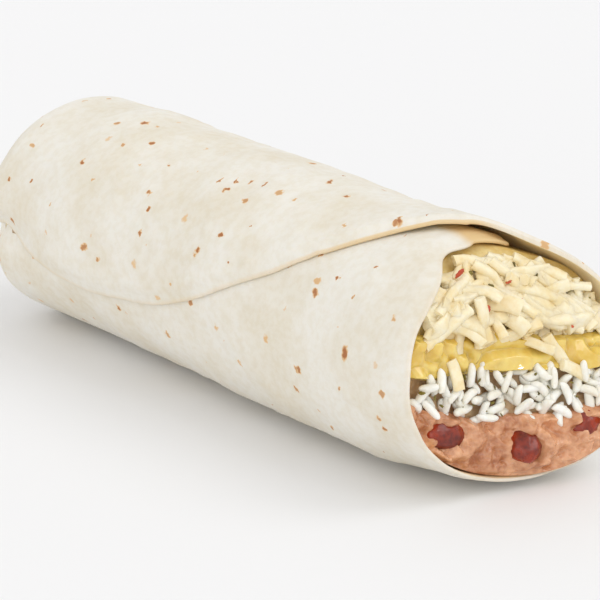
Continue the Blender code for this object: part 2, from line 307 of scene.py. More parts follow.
@dataclass
class Graph:
    """Adds nodes to a shader or geometry tree and wires them in one call."""

    tree: bpy.types.NodeTree

    def add(self, kind: str, inputs: dict[Any, Any] | None = None, **settings: Any) -> bpy.types.Node:
        """Add a node.

        Args:
            kind: The node's type name.
            inputs: Values or sockets for its inputs, by name or by number.
            settings: The node's own options.

        Returns:
            The node.
        """
        node = self.tree.nodes.new(kind)
        for name, value in settings.items():
            setattr(node, name, value)
        for key, value in (inputs or {}).items():
            socket = node.inputs[key]
            if isinstance(value, bpy.types.NodeSocket):
                self.tree.links.new(value, socket)
            else:
                socket.default_value = value
        return node

    def math(self, operation: str, *values: Any) -> bpy.types.NodeSocket:
        """Add a Math node and return its result."""
        node = self.add("ShaderNodeMath", dict(enumerate(values)), operation=operation)
        return node.outputs[0]

    def vector_math(self, operation: str, *values: Any) -> bpy.types.NodeSocket:
        """Add a Vector Math node and return its vector."""
        node = self.add("ShaderNodeVectorMath", dict(enumerate(values)), operation=operation)
        return node.outputs[0]

    def ramp(self, value: Any, low: float, high: float) -> bpy.types.NodeSocket:
        """Return 0 below low and 1 above high, with a smooth rise between."""
        node = self.add("ShaderNodeMapRange", {"Value": value, "From Min": low, "From Max": high},
                        interpolation_type="SMOOTHSTEP")
        return node.outputs["Result"]

    def mix(self, mask: Any, first: Any, second: Any) -> bpy.types.NodeSocket:
        """Mix two colours by a mask and return the colour."""
        node = self.add("ShaderNodeMix", {0: mask, 6: rgba(first), 7: rgba(second)},
                        data_type="RGBA")
        return node.outputs[2]

    def noise(self, vector: Any, scale: float, detail: float = 2.0,
              rough: float = 0.5) -> bpy.types.NodeSocket:
        """Return the value of a Noise texture."""
        node = self.add("ShaderNodeTexNoise", {"Vector": vector, "Scale": scale, "Detail": detail,
                                               "Roughness": rough})
        return node.outputs[0]


def rgba(colour: Any) -> Any:
    """Give a plain colour its alpha; sockets pass through."""
    if isinstance(colour, bpy.types.NodeSocket):
        return colour
    return (*colour, 1.0)


def new_group(name: str, kind: str, inputs: Sequence[tuple], outputs: Sequence[tuple]) -> tuple:
    """Make an empty node group.

    Args:
        name: The group's name.
        kind: ShaderNodeTree or GeometryNodeTree.
        inputs: Name, socket type and, where it has one, start value of each input.
        outputs: Name and socket type of each output.

    Returns:
        The tree, its graph, its input node and its output node.
    """
    tree = bpy.data.node_groups.new(name, kind)
    for spec in inputs:
        socket = tree.interface.new_socket(spec[0], in_out="INPUT", socket_type=spec[1])
        if len(spec) > 2:
            socket.default_value = spec[2]
    for spec in outputs:
        tree.interface.new_socket(spec[0], in_out="OUTPUT", socket_type=spec[1])
    graph = Graph(tree)
    return tree, graph, graph.add("NodeGroupInput"), graph.add("NodeGroupOutput")


# ---- finishes


def mottle_group() -> bpy.types.NodeTree:
    """Build, once, the uneven colouring that every food here shares.

    Returns:
        A group that gives a broad mask, a fine mask and a height from a place.
    """
    name = "food_mottle"
    if name in bpy.data.node_groups:
        return bpy.data.node_groups[name]
    tree, graph, given, out = new_group(
        name, "ShaderNodeTree",
        [("Vector", "NodeSocketVector"), ("Broad Scale", "NodeSocketFloat", 60.0),
         ("Fine Scale", "NodeSocketFloat", 400.0)],
        [("Broad", "NodeSocketFloat"), ("Fine", "NodeSocketFloat"), ("Height", "NodeSocketFloat")])
    place = given.outputs["Vector"]
    broad = graph.noise(place, given.outputs["Broad Scale"], 3.0, 0.55)
    fine = graph.noise(place, given.outputs["Fine Scale"], 3.0, 0.6)
    graph.tree.links.new(graph.ramp(broad, 0.35, 0.68), out.inputs["Broad"])
    graph.tree.links.new(graph.ramp(fine, 0.38, 0.66), out.inputs["Fine"])
    graph.tree.links.new(graph.math("ADD", broad, fine), out.inputs["Height"])
    return tree


def toast_group() -> bpy.types.NodeTree:
    """Build, once, the small toasted specks of a griddled tortilla.

    Returns:
        A group that gives a mask of specks, denser where a speck is darker.
    """
    name = "griddle_specks"
    if name in bpy.data.node_groups:
        return bpy.data.node_groups[name]
    tree, graph, given, out = new_group(
        name, "ShaderNodeTree",
        [("Vector", "NodeSocketVector"), ("Scale", "NodeSocketFloat", 8.0),
         ("Size", "NodeSocketFloat", 0.12), ("Share", "NodeSocketFloat", 0.4)],
        [("Mask", "NodeSocketFloat")])
    ragged = graph.add("ShaderNodeTexNoise", {"Vector": given.outputs["Vector"], "Scale": 60.0,
                                              "Detail": 2.0})
    shift = graph.vector_math("MULTIPLY_ADD", ragged.outputs["Color"], (0.03,) * 3,
                              given.outputs["Vector"])
    cells = graph.add("ShaderNodeTexVoronoi", {"Vector": shift, "Scale": given.outputs["Scale"],
                                               "Randomness": 1.0}, voronoi_dimensions="2D")
    dice = graph.add("ShaderNodeSeparateColor", {0: cells.outputs["Color"]})
    chosen = graph.math("LESS_THAN", dice.outputs[0], given.outputs["Share"])
    share = graph.math("MULTIPLY_ADD", dice.outputs[1], 0.8, 0.2)
    radius = graph.math("MULTIPLY", share, given.outputs["Size"])
    near = graph.math("DIVIDE", cells.outputs["Distance"], radius)
    spot = graph.math("SUBTRACT", 1.0, graph.ramp(near, 0.35, 1.0))
    depth = graph.math("MULTIPLY_ADD", dice.outputs[2], 0.7, 0.3)
    mask = graph.math("MULTIPLY", graph.math("MULTIPLY", spot, chosen), depth)
    graph.tree.links.new(mask, out.inputs["Mask"])
    return tree


@dataclass(frozen=True)
class Finish:
    """A plain food finish: two tones mottled together, gloss and a faint bump."""

    name: str
    light: Colour
    dark: Colour
    broad_scale: float = 90.0
    fine_scale: float = 500.0
    fine_share: float = 0.4
    roughness: float = 0.4
    roughness_spread: float = 0.1
    coat: float = 0.0
    coat_roughness: float = 0.2
    bump: float = 0.1
    bump_depth: float = 0.0003
    glow: float = 0.0
    glow_scale: float = 0.002
    glow_colour: Colour = (1.0, 0.6, 0.3)

    def shader(self) -> tuple[bpy.types.Material, Graph, bpy.types.Node]:
        """Make the material with its constant values set."""
        material = bpy.data.materials.new(self.name)
        material.use_nodes = True
        graph = Graph(material.node_tree)
        bsdf = material.node_tree.nodes["Principled BSDF"]
        bsdf.inputs["Coat Weight"].default_value = self.coat
        bsdf.inputs["Coat Roughness"].default_value = self.coat_roughness
        bsdf.inputs["Subsurface Weight"].default_value = self.glow
        bsdf.inputs["Subsurface Scale"].default_value = self.glow_scale
        bsdf.inputs["Subsurface Radius"].default_value = self.glow_colour
        return material, graph, bsdf

    def mottled(self, graph: Graph, place: Any) -> tuple[Any, bpy.types.Node]:
        """Return the mottled colour and the mottle node.

        Args:
            graph: The material's graph.
            place: The coordinates to colour by.

        Returns:
            The colour socket and the group node.
        """
        mottle = graph.add("ShaderNodeGroup", node_tree=mottle_group())
        for key, value in (("Vector", place), ("Broad Scale", self.broad_scale),
                           ("Fine Scale", self.fine_scale)):
            if isinstance(value, bpy.types.NodeSocket):
                graph.tree.links.new(value, mottle.inputs[key])
            else:
                mottle.inputs[key].default_value = value
        fine = graph.math("MULTIPLY", mottle.outputs["Fine"], self.fine_share)
        mask = graph.math("MULTIPLY_ADD", mottle.outputs["Broad"], 1.0 - self.fine_share, fine)
        return graph.mix(mask, self.light, self.dark), mottle

    def finish(self, graph: Graph, bsdf: bpy.types.Node, colour: Any, mottle: bpy.types.Node) -> None:
        """Wire colour, uneven gloss and bump into the shader."""
        graph.tree.links.new(colour, bsdf.inputs["Base Color"])
        rough = graph.math("MULTIPLY_ADD", mottle.outputs["Broad"], 2 * self.roughness_spread,
                           self.roughness - self.roughness_spread)
        graph.tree.links.new(rough, bsdf.inputs["Roughness"])
        bump = graph.add("ShaderNodeBump", {"Strength": self.bump, "Distance": self.bump_depth,
                                            "Height": mottle.outputs["Height"]})
        graph.tree.links.new(bump.outputs[0], bsdf.inputs["Normal"])

    def build(self) -> bpy.types.Material:
        """Make the material, coloured by the piece's own object coordinates."""
        material, graph, bsdf = self.shader()
        place = graph.add("ShaderNodeTexCoord").outputs["Object"]
        colour, mottle = self.mottled(graph, place)
        self.finish(graph, bsdf, colour, mottle)
        return material


@dataclass(frozen=True)
class ToastMark:
    """One toasted blister, placed on the rolled sheet."""

    x: float
    angle: float
    length: float
    width: float
    turn: float = 0.0
    depth: float = 1.0


@dataclass(frozen=True)
class TortillaFinish(Finish):
    """Griddled flour tortilla: pale dough, toast specks, a tan edge, painted shade on the layer under the
    flap's lip, and an inner side whose tone is partly moist dough and partly painted shade with warm light
    seen through the sheet.
    """

    toast_light: Colour = srgb(228, 190, 140)
    toast_dark: Colour = srgb(172, 108, 60)
    # Tan of the free edges, also used as painted shade on the layer under the flap's lip.
    edge_tan_and_lip_shade_tone: Colour = srgb(226, 190, 126)
    # Partly moist, fatty dough and partly painted shade with warm light seen through the sheet.
    inner_moist_and_shade_tone: Colour = srgb(243, 228, 190)
    speck_scale: float = 9.0
    speck_size: float = 0.15
    speck_share: float = 0.7
    marks: tuple[ToastMark, ...] = ()

    def mark_mask(self, graph: Graph, place: Any) -> Any:
        """Return the mask of the listed toast marks.

        Args:
            graph: The material's graph.
            place: The sheet's own coordinates.

        Returns:
            A mask socket.
        """
        ragged = graph.add("ShaderNodeTexNoise", {"Vector": place, "Scale": 45.0, "Detail": 3.0})
        shaken = graph.vector_math("MULTIPLY_ADD", ragged.outputs["Color"], (0.035, 0.035, 0.0), place)
        total = None
        for mark in self.marks:
            centre = sheet_coordinates(mark.angle, mark.x)
            mapping = graph.add("ShaderNodeMapping", {
                "Vector": shaken, "Location": (centre[0] + 0.0175, centre[1] + 0.0175, 0.0),
                "Rotation": (0.0, 0.0, math.radians(mark.turn)),
                "Scale": (mark.width * SHEET_UNIT / 2, mark.length * SHEET_UNIT / 2, 1.0),
            }, vector_type="TEXTURE")
            length = graph.add("ShaderNodeVectorMath", {0: mapping.outputs[0]}, operation="LENGTH")
            spot = graph.math("SUBTRACT", 1.0, graph.ramp(length.outputs["Value"], 0.3, 1.1))
            spot = graph.math("MULTIPLY", spot, mark.depth)
            total = spot if total is None else graph.math("MAXIMUM", total, spot)
        return total

    def build(self) -> bpy.types.Material:
        """Make the material, which follows the sheet's own coordinates."""
        material, graph, bsdf = self.shader()
        place = graph.add("ShaderNodeUVMap", uv_map="sheet").outputs[0]
        colour, mottle = self.mottled(graph, place)
        specks = graph.add("ShaderNodeGroup", node_tree=toast_group())
        graph.tree.links.new(place, specks.inputs["Vector"])
        for key, value in (("Scale", self.speck_scale), ("Size", self.speck_size),
                           ("Share", self.speck_share)):
            specks.inputs[key].default_value = value
        toast = graph.math("MAXIMUM", specks.outputs["Mask"], self.mark_mask(graph, place))
        tone = graph.mix(graph.ramp(toast, 0.35, 0.95), self.toast_light, self.toast_dark)
        colour = graph.mix(graph.ramp(toast, 0.02, 0.5), colour, tone)
        # The inner side takes a tone that is partly moist, fatty dough and partly painted shade with warm
        # light seen through the sheet.
        inside = graph.add("ShaderNodeAttribute", attribute_name="inside").outputs["Fac"]
        colour = graph.mix(inside, colour, self.inner_moist_and_shade_tone)
        # Tan along the free edges; the same tone is painted shade on the layer under the flap's lip.
        edge = graph.add("ShaderNodeAttribute", attribute_name="edge").outputs["Fac"]
        colour = graph.mix(edge, colour, self.edge_tan_and_lip_shade_tone)
        self.finish(graph, bsdf, colour, mottle)
        return material


def sheet_coordinates(angle: Any, distance: Any) -> tuple[Any, Any]:
    """Return the sheet's own coordinates for an angle round the roll and a distance along it."""
    return SHAPE.girth_radius * np.radians(angle) * SHEET_UNIT, distance * SHEET_UNIT


# ---- pieces


@dataclass
class Piece:
    """Something that shows: it rides on the body, and may stand for a CAD node."""

    name: str
    slot: str
    node: str | None = None

    def dress(self, obj: bpy.types.Object, material: bpy.types.Material) -> bpy.types.Object:
        """Give the object its material, hang it on the body and hide the CAD node it stands for, if any.

        Args:
            obj: The finished mesh object.
            material: Its material.

        Returns:
            The object.
        """
        obj.data.materials.clear()
        obj.data.materials.append(material)
        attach(obj, BODY)
        if self.node:
            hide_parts(self.node)
        log.info("%s: %d faces", obj.name, len(obj.data.polygons))
        return obj


@dataclass
class Tortilla(Piece):
    """The rolled sheet, thinner at its free edges, gently blistered and creased at its tuck."""

    columns: int = 268
    rows: int = 132
    tuck_rows: int = 30
    edge_thickness: float = 0.55
    edge_taper: float = 5.0
    wobble: float = 0.9
    wave: float = 0.85
    blister: float = 0.22
    pleat: float = 0.55
    pleat_count: float = 13.0
    lip_lift: float = 1.3
    groove_angle: float = 2.0
    groove_spread: float = 10.0
    groove_depth: float = 3.4
    lobe_swell: float = 0.8
    press: float = 0.5
    # Shares of the edge tone: tan along the flap and the rim, and painted shade on the layer under the
    # flap's lip.
    edge_tan: float = 0.75
    rim_tan: float = 0.12
    lip_painted_shade: float = 0.85
    edge_tan_width: float = 1.1
    shape: RollShape = SHAPE

    def places(self) -> tuple[np.ndarray, ...]:
        """Return the sheet's grid: angle, distance along, depth, distances to rim and to flap."""
        s = self.shape
        u = np.linspace(0.0, 1.0, self.columns + 1)[None, :]
        lip_edge = s.flap_angle(np.array(s.lip_x))
        v = (np.linspace(0.0, 1.0, self.rows + 1) ** 0.94)[:, None]
        edge = s.flap_angle(s.shoulder_x + v * (s.lip_x - s.shoulder_x))
        rim_angle = lip_edge + (s.inner_edge_angle - lip_edge) * u
        line = np.stack([v * 9.0, 0 * v, 0 * v], axis=-1).reshape(-1, 3)
        shake = noise_at(line, 1.0, 4.0)[:, None] * self.wobble
        fade = smoothstep(0.06, 0.0, u)
        angle = edge + (s.inner_edge_angle - edge) * u + np.degrees(shake / s.girth_radius) * fade
        ring = np.stack([rim_angle / 14.0, 0 * u, 0 * u], axis=-1).reshape(-1, 3)
        ragged = noise_at(ring, 1.0, 9.0)[None, :] * self.wobble
        along = v * (s.rim_x(rim_angle) + ragged * v ** 6 - s.shoulder_x)
        depth = s.spiral_depth(angle, edge + 0 * u)
        first = s.flap_angle(np.array(s.shoulder_x))
        tucks = np.linspace(180.0, 0.0, self.tuck_rows + 1)[:-1, None]
        tucked_angle = first + (s.inner_edge_angle - first) * u + 0 * tucks
        outer_share = smoothstep(INNER_TUCK_END, INNER_TUCK_START, tucked_angle)
        limit = s.inner_tuck_limit + (180.0 - s.inner_tuck_limit) * outer_share
        angle = np.concatenate([tucked_angle, angle])
        along = np.concatenate([-tucks * limit / 180.0, along])
        meeting = smoothstep(*MEETING_TUCKS, tucks * limit / 180.0)
        depth = np.concatenate([s.spiral_depth(tucked_angle, first) * meeting, depth])
        rows_to_rim = np.concatenate([np.full_like(tucks, 1.0), 1.0 - v])
        to_rim = rows_to_rim * (s.open_x - s.shoulder_x) + 0 * u
        to_flap = u * np.radians(s.inner_edge_angle) * s.girth_radius + 0 * to_rim
        return angle, along, depth, to_rim, to_flap

    def relief(self, points: np.ndarray, angle: np.ndarray, along: np.ndarray) -> np.ndarray:
        """Return how far the surface swells outward at each point."""
        flat = points.reshape(-1, 3)
        swell = self.wave * (1.6 * noise_at(flat, 34.0, 1.0) + 0.6 * noise_at(flat, 13.0, 2.0) + 0.5)
        swell = np.maximum(swell, -0.3)
        bubble = np.maximum(noise_at(flat, 5.5, 3.0) - 0.12, 0.0)
        swell = (swell + self.blister * 3.0 * bubble ** 1.5).reshape(angle.shape)
        swell = swell * smoothstep(self.shape.lip_x + 22.0, self.shape.lip_x - 6.0, points[..., 0])
        place_x = self.shape.shoulder_x + np.maximum(along, 0.0)
        turn = np.mod(angle + 180.0, 360.0) - 180.0
        groove = np.exp(-((turn - self.groove_angle) / self.groove_spread) ** 2)
        low_lobe = np.exp(-((turn - LOBE_ANGLE) / LOBE_SPREAD) ** 2)
        fade = smoothstep(LOBE_START, LOBE_END, place_x)
        lobes = self.lobe_swell * low_lobe - self.groove_depth * groove
        swell = swell * (1.0 - 0.7 * fade) + lobes * fade
        tuck = smoothstep(10.0, 90.0, -along)
        phase = np.radians(angle) * self.pleat_count + 2.0 * np.sin(np.radians(angle) * 3.0)
        off_crease = smoothstep(0.12, 0.45, abs(np.sin(np.radians(angle))))
        pleats = self.pleat * tuck * np.sin(phase) * off_crease
        clear = smoothstep(0.3, 5.0, points[..., 2])
        return (swell * (1.0 - 0.6 * tuck) + pleats * smoothstep(175.0, 120.0, -along)) * clear

    def build(self, finish: Finish) -> bpy.types.Object:
        """Make the sheet as one closed skin with rounded edges.

        Args:
            finish: The dough's finish.

        Returns:
            The dressed object.
        """
        s = self.shape
        angle, along, depth, to_rim, to_flap = self.places()
        to_edge = np.minimum(to_rim, to_flap)
        flap = angle < 90.0
        base = s.outer_points(angle, along, flap)
        inward = s.inward(angle, along, flap)
        swell = self.relief(s.outer_points(np.mod(angle, 360.0), along, flap), angle, along)
        x = s.shoulder_x + along
        near_lip = np.exp(-((x - s.lip_x) / 16.0) ** 2) * np.exp(-((angle - s.lip_angle) / 26.0) ** 2)
        swell = swell + self.lip_lift * near_lip
        thick = s.thickness * (self.edge_thickness
                               + (1.0 - self.edge_thickness) * smoothstep(0.0, self.edge_taper, to_edge))
        lies_down = smoothstep(7.0, 0.0, to_flap) * smoothstep(s.lip_x, s.lip_x - 14.0, x)
        inner = base + inward * (depth + s.thickness + self.press * lies_down - swell)[..., None]
        outer = inner - inward * thick[..., None]
        outer[..., 2] = np.maximum(outer[..., 2], 0.0)
        inner[..., 2] = np.maximum(inner[..., 2], thick * 0.999)
        distance = np.where(along >= 0.0, x, s.shoulder_x + along * TUCK_ARC / 180.0)
        return self.skin(outer, inner, thick, angle, distance, to_edge, finish)

    def skin(self, outer: np.ndarray, inner: np.ndarray, thick: np.ndarray, angle: np.ndarray,
             distance: np.ndarray, to_edge: np.ndarray, finish: Finish) -> bpy.types.Object:
        """Join the two sides by a rounded edge and store the sheet's own coordinates.

        Args:
            outer: The outer side's grid of points.
            inner: The inner side's grid of points.
            thick: The sheet's thickness over the grid.
            angle: The sheet's own angle over the grid.
            distance: The distance along the roll over the grid.
            to_edge: The distance to the free edge over the grid.
            finish: The dough's finish.

        Returns:
            The dressed object.
        """
        rows, columns = outer.shape[:2]
        number = np.arange(rows * columns).reshape(rows, columns)
        quads = np.stack([number[:-1, :-1], number[1:, :-1], number[1:, 1:], number[:-1, 1:]], -1)
        faces = quads.reshape(-1, 4).tolist()
        faces += (quads[..., ::-1].reshape(-1, 4) + number.size).tolist()
        border, neighbour = grid_border(rows, columns)
        flat_outer, flat_inner = outer.reshape(-1, 3), inner.reshape(-1, 3)
        middle = (flat_outer + flat_inner) / 2
        away = middle[border] - middle[neighbour]
        away /= np.linalg.norm(away, axis=1, keepdims=True)
        loops = [border]
        points = [flat_outer, flat_inner]
        total = 2 * number.size
        for share, out in ((0.12, 0.32), (0.5, 0.5), (0.88, 0.32)):
            ring = flat_outer[border] * (1 - share) + flat_inner[border] * share
            points.append(ring + away * (out * thick.reshape(-1)[border])[:, None])
            loops.append(np.arange(total, total + len(border)))
            total += len(border)
        loops.append(border + number.size)
        for first, second in zip(loops, loops[1:]):
            ahead_first, ahead_second = np.roll(first, -1), np.roll(second, -1)
            faces += np.stack([first, second, ahead_second, ahead_first], -1).tolist()
        every = np.concatenate(points)
        every[:, 2] = np.maximum(every[:, 2], 0.0)
        obj = mesh_object(self.name, every, faces)
        face_outward(obj.data)
        repeat = np.concatenate([np.arange(number.size)] * 2 + [border] * 3)
        inside = np.zeros(len(every))
        inside[number.size:2 * number.size] = 1.0
        set_attribute(obj.data, "inside", inside, "FLOAT")
        flat_angle, flat_x = angle.reshape(-1), distance.reshape(-1)
        on_flap = smoothstep(112.0, 96.0, flat_angle)
        # Tan along the flap's free edge, stronger towards the open end, and a little along the rim.
        share = self.edge_tan * (0.3 + 0.7 * smoothstep(15.0, 58.0, flat_x)) * on_flap
        share = share + self.rim_tan * (1.0 - on_flap) * smoothstep(60.0, 70.0, flat_x)
        edge_tan_and_lip_shade = share * smoothstep(self.edge_tan_width, 0.0, to_edge.reshape(-1))
        # Painted shade: the layer under the flap's lip, near the open end, takes the edge tone.
        shade_under_lip = smoothstep(446.0, 454.0, flat_angle) * smoothstep(50.0, 58.0, flat_x)
        edge_tan_and_lip_shade = np.maximum(edge_tan_and_lip_shade, self.lip_painted_shade * shade_under_lip)
        set_attribute(obj.data, "edge", edge_tan_and_lip_shade[repeat], "FLOAT")
        across, down = sheet_coordinates(angle.reshape(-1)[repeat], distance.reshape(-1)[repeat])
        corners = np.zeros(len(obj.data.loops), dtype=np.int64)
        obj.data.loops.foreach_get("vertex_index", corners)
        layer = obj.data.uv_layers.new(name="sheet")
        layer.data.foreach_set("uv", np.stack([across, down], -1)[corners].ravel())
        return self.dress(obj, finish.build())


def grid_border(rows: int, columns: int) -> tuple[np.ndarray, np.ndarray]:
    """Return the border of a grid as vertex numbers, with the neighbour inside each of them."""
    number = np.arange(rows * columns).reshape(rows, columns)
    inner_row = np.clip(np.arange(rows), 1, rows - 2)
    inner_column = np.clip(np.arange(columns), 1, columns - 2)
    within = number[inner_row][:, inner_column]
    path = [(0, c) for c in range(columns - 1)] + [(r, columns - 1) for r in range(rows - 1)]
    path += [(rows - 1, c) for c in range(columns - 1, 0, -1)] + [(r, 0) for r in range(rows - 1, 0, -1)]
    picks = tuple(np.array(path).T)
    return number[picks], within[picks]


@dataclass
class Layer(Piece):
    """One layer of filling: it runs the whole roll and has a modelled face at the open end."""

    floor: Callable[[np.ndarray, np.ndarray], np.ndarray] | None = None
    ceiling: Callable[[np.ndarray, np.ndarray], np.ndarray] | None = None
    face: Callable[[np.ndarray, np.ndarray], np.ndarray] | None = None
    stir: Callable[[np.ndarray], np.ndarray] | None = None
    across: int = 120
    up: int = 50
    stations: int = 10
    room: float = 0.5
    shape: RollShape = SHAPE

    def band(self, x: float) -> tuple[np.ndarray, np.ndarray]:
        """Return the layer's cut at x: its grid of y, and of z from its floor to its ceiling."""
        angles = np.linspace(0.0, 360.0, 361)
        outline = self.shape.cavity(angles, np.full_like(angles, x), self.room)
        y, z = outline[:, 1], outline[:, 2]
        upper, lower = angles <= 180.0, angles >= 180.0
        fine = np.linspace(y.min(), y.max(), 801)
        top = np.interp(fine, y[upper], z[upper])
        bottom = np.interp(fine, y[lower][::-1], z[lower][::-1])
        place = np.full_like(fine, x)
        if self.ceiling:
            top = np.minimum(top, self.ceiling(place, fine))
        if self.floor:
            bottom = np.maximum(bottom, self.floor(place, fine))
        held = np.flatnonzero(top - bottom > THINNEST_LAYER)
        low, high = fine[held[0]], fine[held[-1]]
        t = (1.0 - np.cos(np.linspace(0.0, math.pi, self.across + 1))) / 2
        t = 0.6 * t + 0.4 * np.linspace(0.0, 1.0, self.across + 1)
        across = low + (high - low) * t
        share = np.linspace(0.0, 1.0, self.up + 1)[None, :]
        base = np.interp(across, fine, bottom)[:, None]
        roof = np.interp(across, fine, np.maximum(top, bottom))[:, None]
        return across[:, None] + 0 * share, base + (roof - base) * share

    def build(self, finish: Finish) -> bpy.types.Object:
        """Make the layer as one closed mesh.

        Args:
            finish: The layer's finish.

        Returns:
            The dressed object.
        """
        s = self.shape
        y, z = self.band(s.open_x)
        rows, columns = y.shape
        x = self.face(y, z)
        face = np.stack([x, y, z], -1).reshape(-1, 3)
        border, _ = grid_border(rows, columns)
        if self.stir:
            down, over = np.linspace(0, 1, rows), np.linspace(0, 1, columns)
            ends = smoothstep(0.0, 0.08, down) * smoothstep(1.0, 0.92, down)
            sides = smoothstep(0.0, 0.1, over) * smoothstep(1.0, 0.9, over)
            inner = ends[:, None] * sides[None, :]
            face = face + self.stir(face) * inner.reshape(-1, 1)
        number = np.arange(rows * columns).reshape(rows, columns)
        quads = np.stack([number[:-1, :-1], number[1:, :-1], number[1:, 1:], number[:-1, 1:]], -1)
        faces = quads.reshape(-1, 4).tolist()
        points, loop, total = [face], border, rows * columns
        for share in np.linspace(0.0, 1.0, self.stations + 1)[1:] ** 1.5:
            at_x = s.open_x + (s.shoulder_x + LAYER_OVERRUN - s.open_x) * share
            wide, high = self.band(at_x)
            ring = np.stack([0 * wide, wide, high], -1).reshape(-1, 3)[border]
            ring[:, 0] = face[border, 0] + (s.shoulder_x + LAYER_OVERRUN - face[border, 0]) * share
            points.append(ring)
            following = np.arange(total, total + len(border))
            total += len(border)
            ahead, ahead_next = np.roll(loop, -1), np.roll(following, -1)
            faces += np.stack([loop, following, ahead_next, ahead], -1)[:, ::-1].tolist()
            loop = following
        points.append(points[-1].mean(axis=0, keepdims=True))
        faces += [(int(a), int(b), total) for a, b in zip(loop, np.roll(loop, -1))]
        obj = mesh_object(self.name, np.concatenate(points), faces)
        face_outward(obj.data, merge=True)
        return self.dress(obj, finish.build())


def face_outward(mesh: bpy.types.Mesh, merge: bool = False) -> None:
    """Turn the faces of a closed mesh outward, with its pinched corners merged if asked."""
    work = bmesh.new()
    work.from_mesh(mesh)
    if merge:
        bmesh.ops.remove_doubles(work, verts=work.verts, dist=MERGE * MM)
        bmesh.ops.dissolve_degenerate(work, edges=work.edges, dist=MERGE * MM)
    bmesh.ops.recalc_face_normals(work, faces=work.faces)
    log.info("%s: %d open edges", mesh.name, sum(not edge.is_manifold for edge in work.edges))
    work.to_mesh(mesh)
    work.free()
    mesh.shade_smooth()


# ---- the open face


@dataclass(frozen=True)
class Levels:
    """The tops of the layers, as they settle across the roll."""

    middle: dict[str, float] = field(default_factory=lambda: {"mash": 18.4, "rice": 29.5,
                                                              "sauce": 38.8})
    slope: dict[str, float] = field(default_factory=lambda: {"mash": -0.10, "rice": -0.13,
                                                             "sauce": -0.17})
    rise: dict[str, float] = field(default_factory=lambda: {"mash": 6.6, "rice": 0.0,
                                                            "sauce": 0.0})
    wave: float = 1.7
    wave_size: float = 8.5

    def top(self, name: str, lift: float = 0.0) -> Callable[[np.ndarray, np.ndarray], np.ndarray]:
        """Return the height of a layer's top as a function of x and y.

        Args:
            name: The layer.
            lift: How far the surface is raised above the settled height.

        Returns:
            The height function.
        """
        seed = float(sorted(self.middle).index(name))

        def height(x: np.ndarray, y: np.ndarray) -> np.ndarray:
            """Return the height at x and y."""
            side = y / SHAPE.half_width
            line = np.stack([x / 3.0, y, 0 * y], -1)
            ripple = self.wave * noise_at(line, self.wave_size, seed + 2.0)
            return self.middle[name] + self.slope[name] * y + self.rise[name] * side * side + ripple + lift
        return height


LEVELS = Levels()


@dataclass(frozen=True)
class OpenFace:
    """The surface in which the filling ends, flush with the near wall and fuller low down."""

    recess: float = 1.5
    crown_recess: float = 8.0
    crown_height: float = 44.0
    bean_bulge: float = 4.5

    def x(self, y: np.ndarray, z: np.ndarray) -> np.ndarray:
        """Return where the face stands at a place across the roll."""
        s = SHAPE
        _, half_height, _, centre_z = s.section(np.array(s.open_x))
        lift = np.clip((z - centre_z) / half_height, -FACE_LIFT_LIMIT, FACE_LIFT_LIMIT)
        rim = s.rim_x(360.0 + np.degrees(np.arcsin(lift)))
        crown = self.crown_recess * smoothstep(self.crown_height, 2 * s.half_height - 4.0, z)
        bulge = self.bean_bulge * smoothstep(24.0, 10.0, z) * smoothstep(-26.0, 6.0, y)
        bulge = bulge + s.far_reach * smoothstep(46.0, 14.0, z) * smoothstep(-10.0, 24.0, y)
        return rim - self.recess - crown + bulge

    def recessed(self, depth: float, lump: float, size: float, seed: float) -> Callable:
        """Return the face of a layer.

        Args:
            depth: How far it stands behind the open face.
            lump: The height of its lumps.
            size: The size of its lumps.
            seed: The pattern of its lumps.

        Returns:
            A function of y and z that gives x.
        """
        def face(y: np.ndarray, z: np.ndarray) -> np.ndarray:
            """Return x at y and z."""
            flat = np.stack([0 * y, y, z], -1).reshape(-1, 3)
            lumps = lump * noise_at(flat, size, seed).reshape(y.shape)
            return self.x(y, z) - depth + lumps
        return face

    def frame_at(self, y: float, z: float) -> tuple[Vector, Vector, Vector, Vector]:
        """Return the face's point, its two tangents across and up, and its outward normal."""
        step = 1.0
        spots = np.array([[y, z], [y + step, z], [y, z + step]])
        xs = self.x(spots[:, 0], spots[:, 1])
        across = Vector((xs[1] - xs[0], step, 0.0)).normalized()
        up = Vector((xs[2] - xs[0], 0.0, step)).normalized()
        return Vector((xs[0], y, z)), across, up, across.cross(up).normalized()


FACE = OpenFace()


@dataclass
class Opening:
    """The outline that scattered food has to stay inside."""

    x: float = 82.0
    room: float = 1.0
    low: np.ndarray = field(init=False)
    high: np.ndarray = field(init=False)
    across: np.ndarray = field(init=False)

    def __post_init__(self) -> None:
        """Work out the lowest and highest place at each y."""
        angles = np.linspace(0.0, 360.0, 361)
        outline = SHAPE.cavity(angles, np.full_like(angles, self.x), self.room)
        y, z = outline[:, 1], outline[:, 2]
        self.across = np.linspace(y.min(), y.max(), 400)
        self.high = np.interp(self.across, y[:181], z[:181])
        self.low = np.interp(self.across, y[180:][::-1], z[180:][::-1])

    def holds(self, y: float, z: float) -> bool:
        """Tell whether a place lies inside the outline."""
        if not self.across[0] < y < self.across[-1]:
            return False
        return bool(np.interp(y, self.across, self.low) < z < np.interp(y, self.across, self.high))


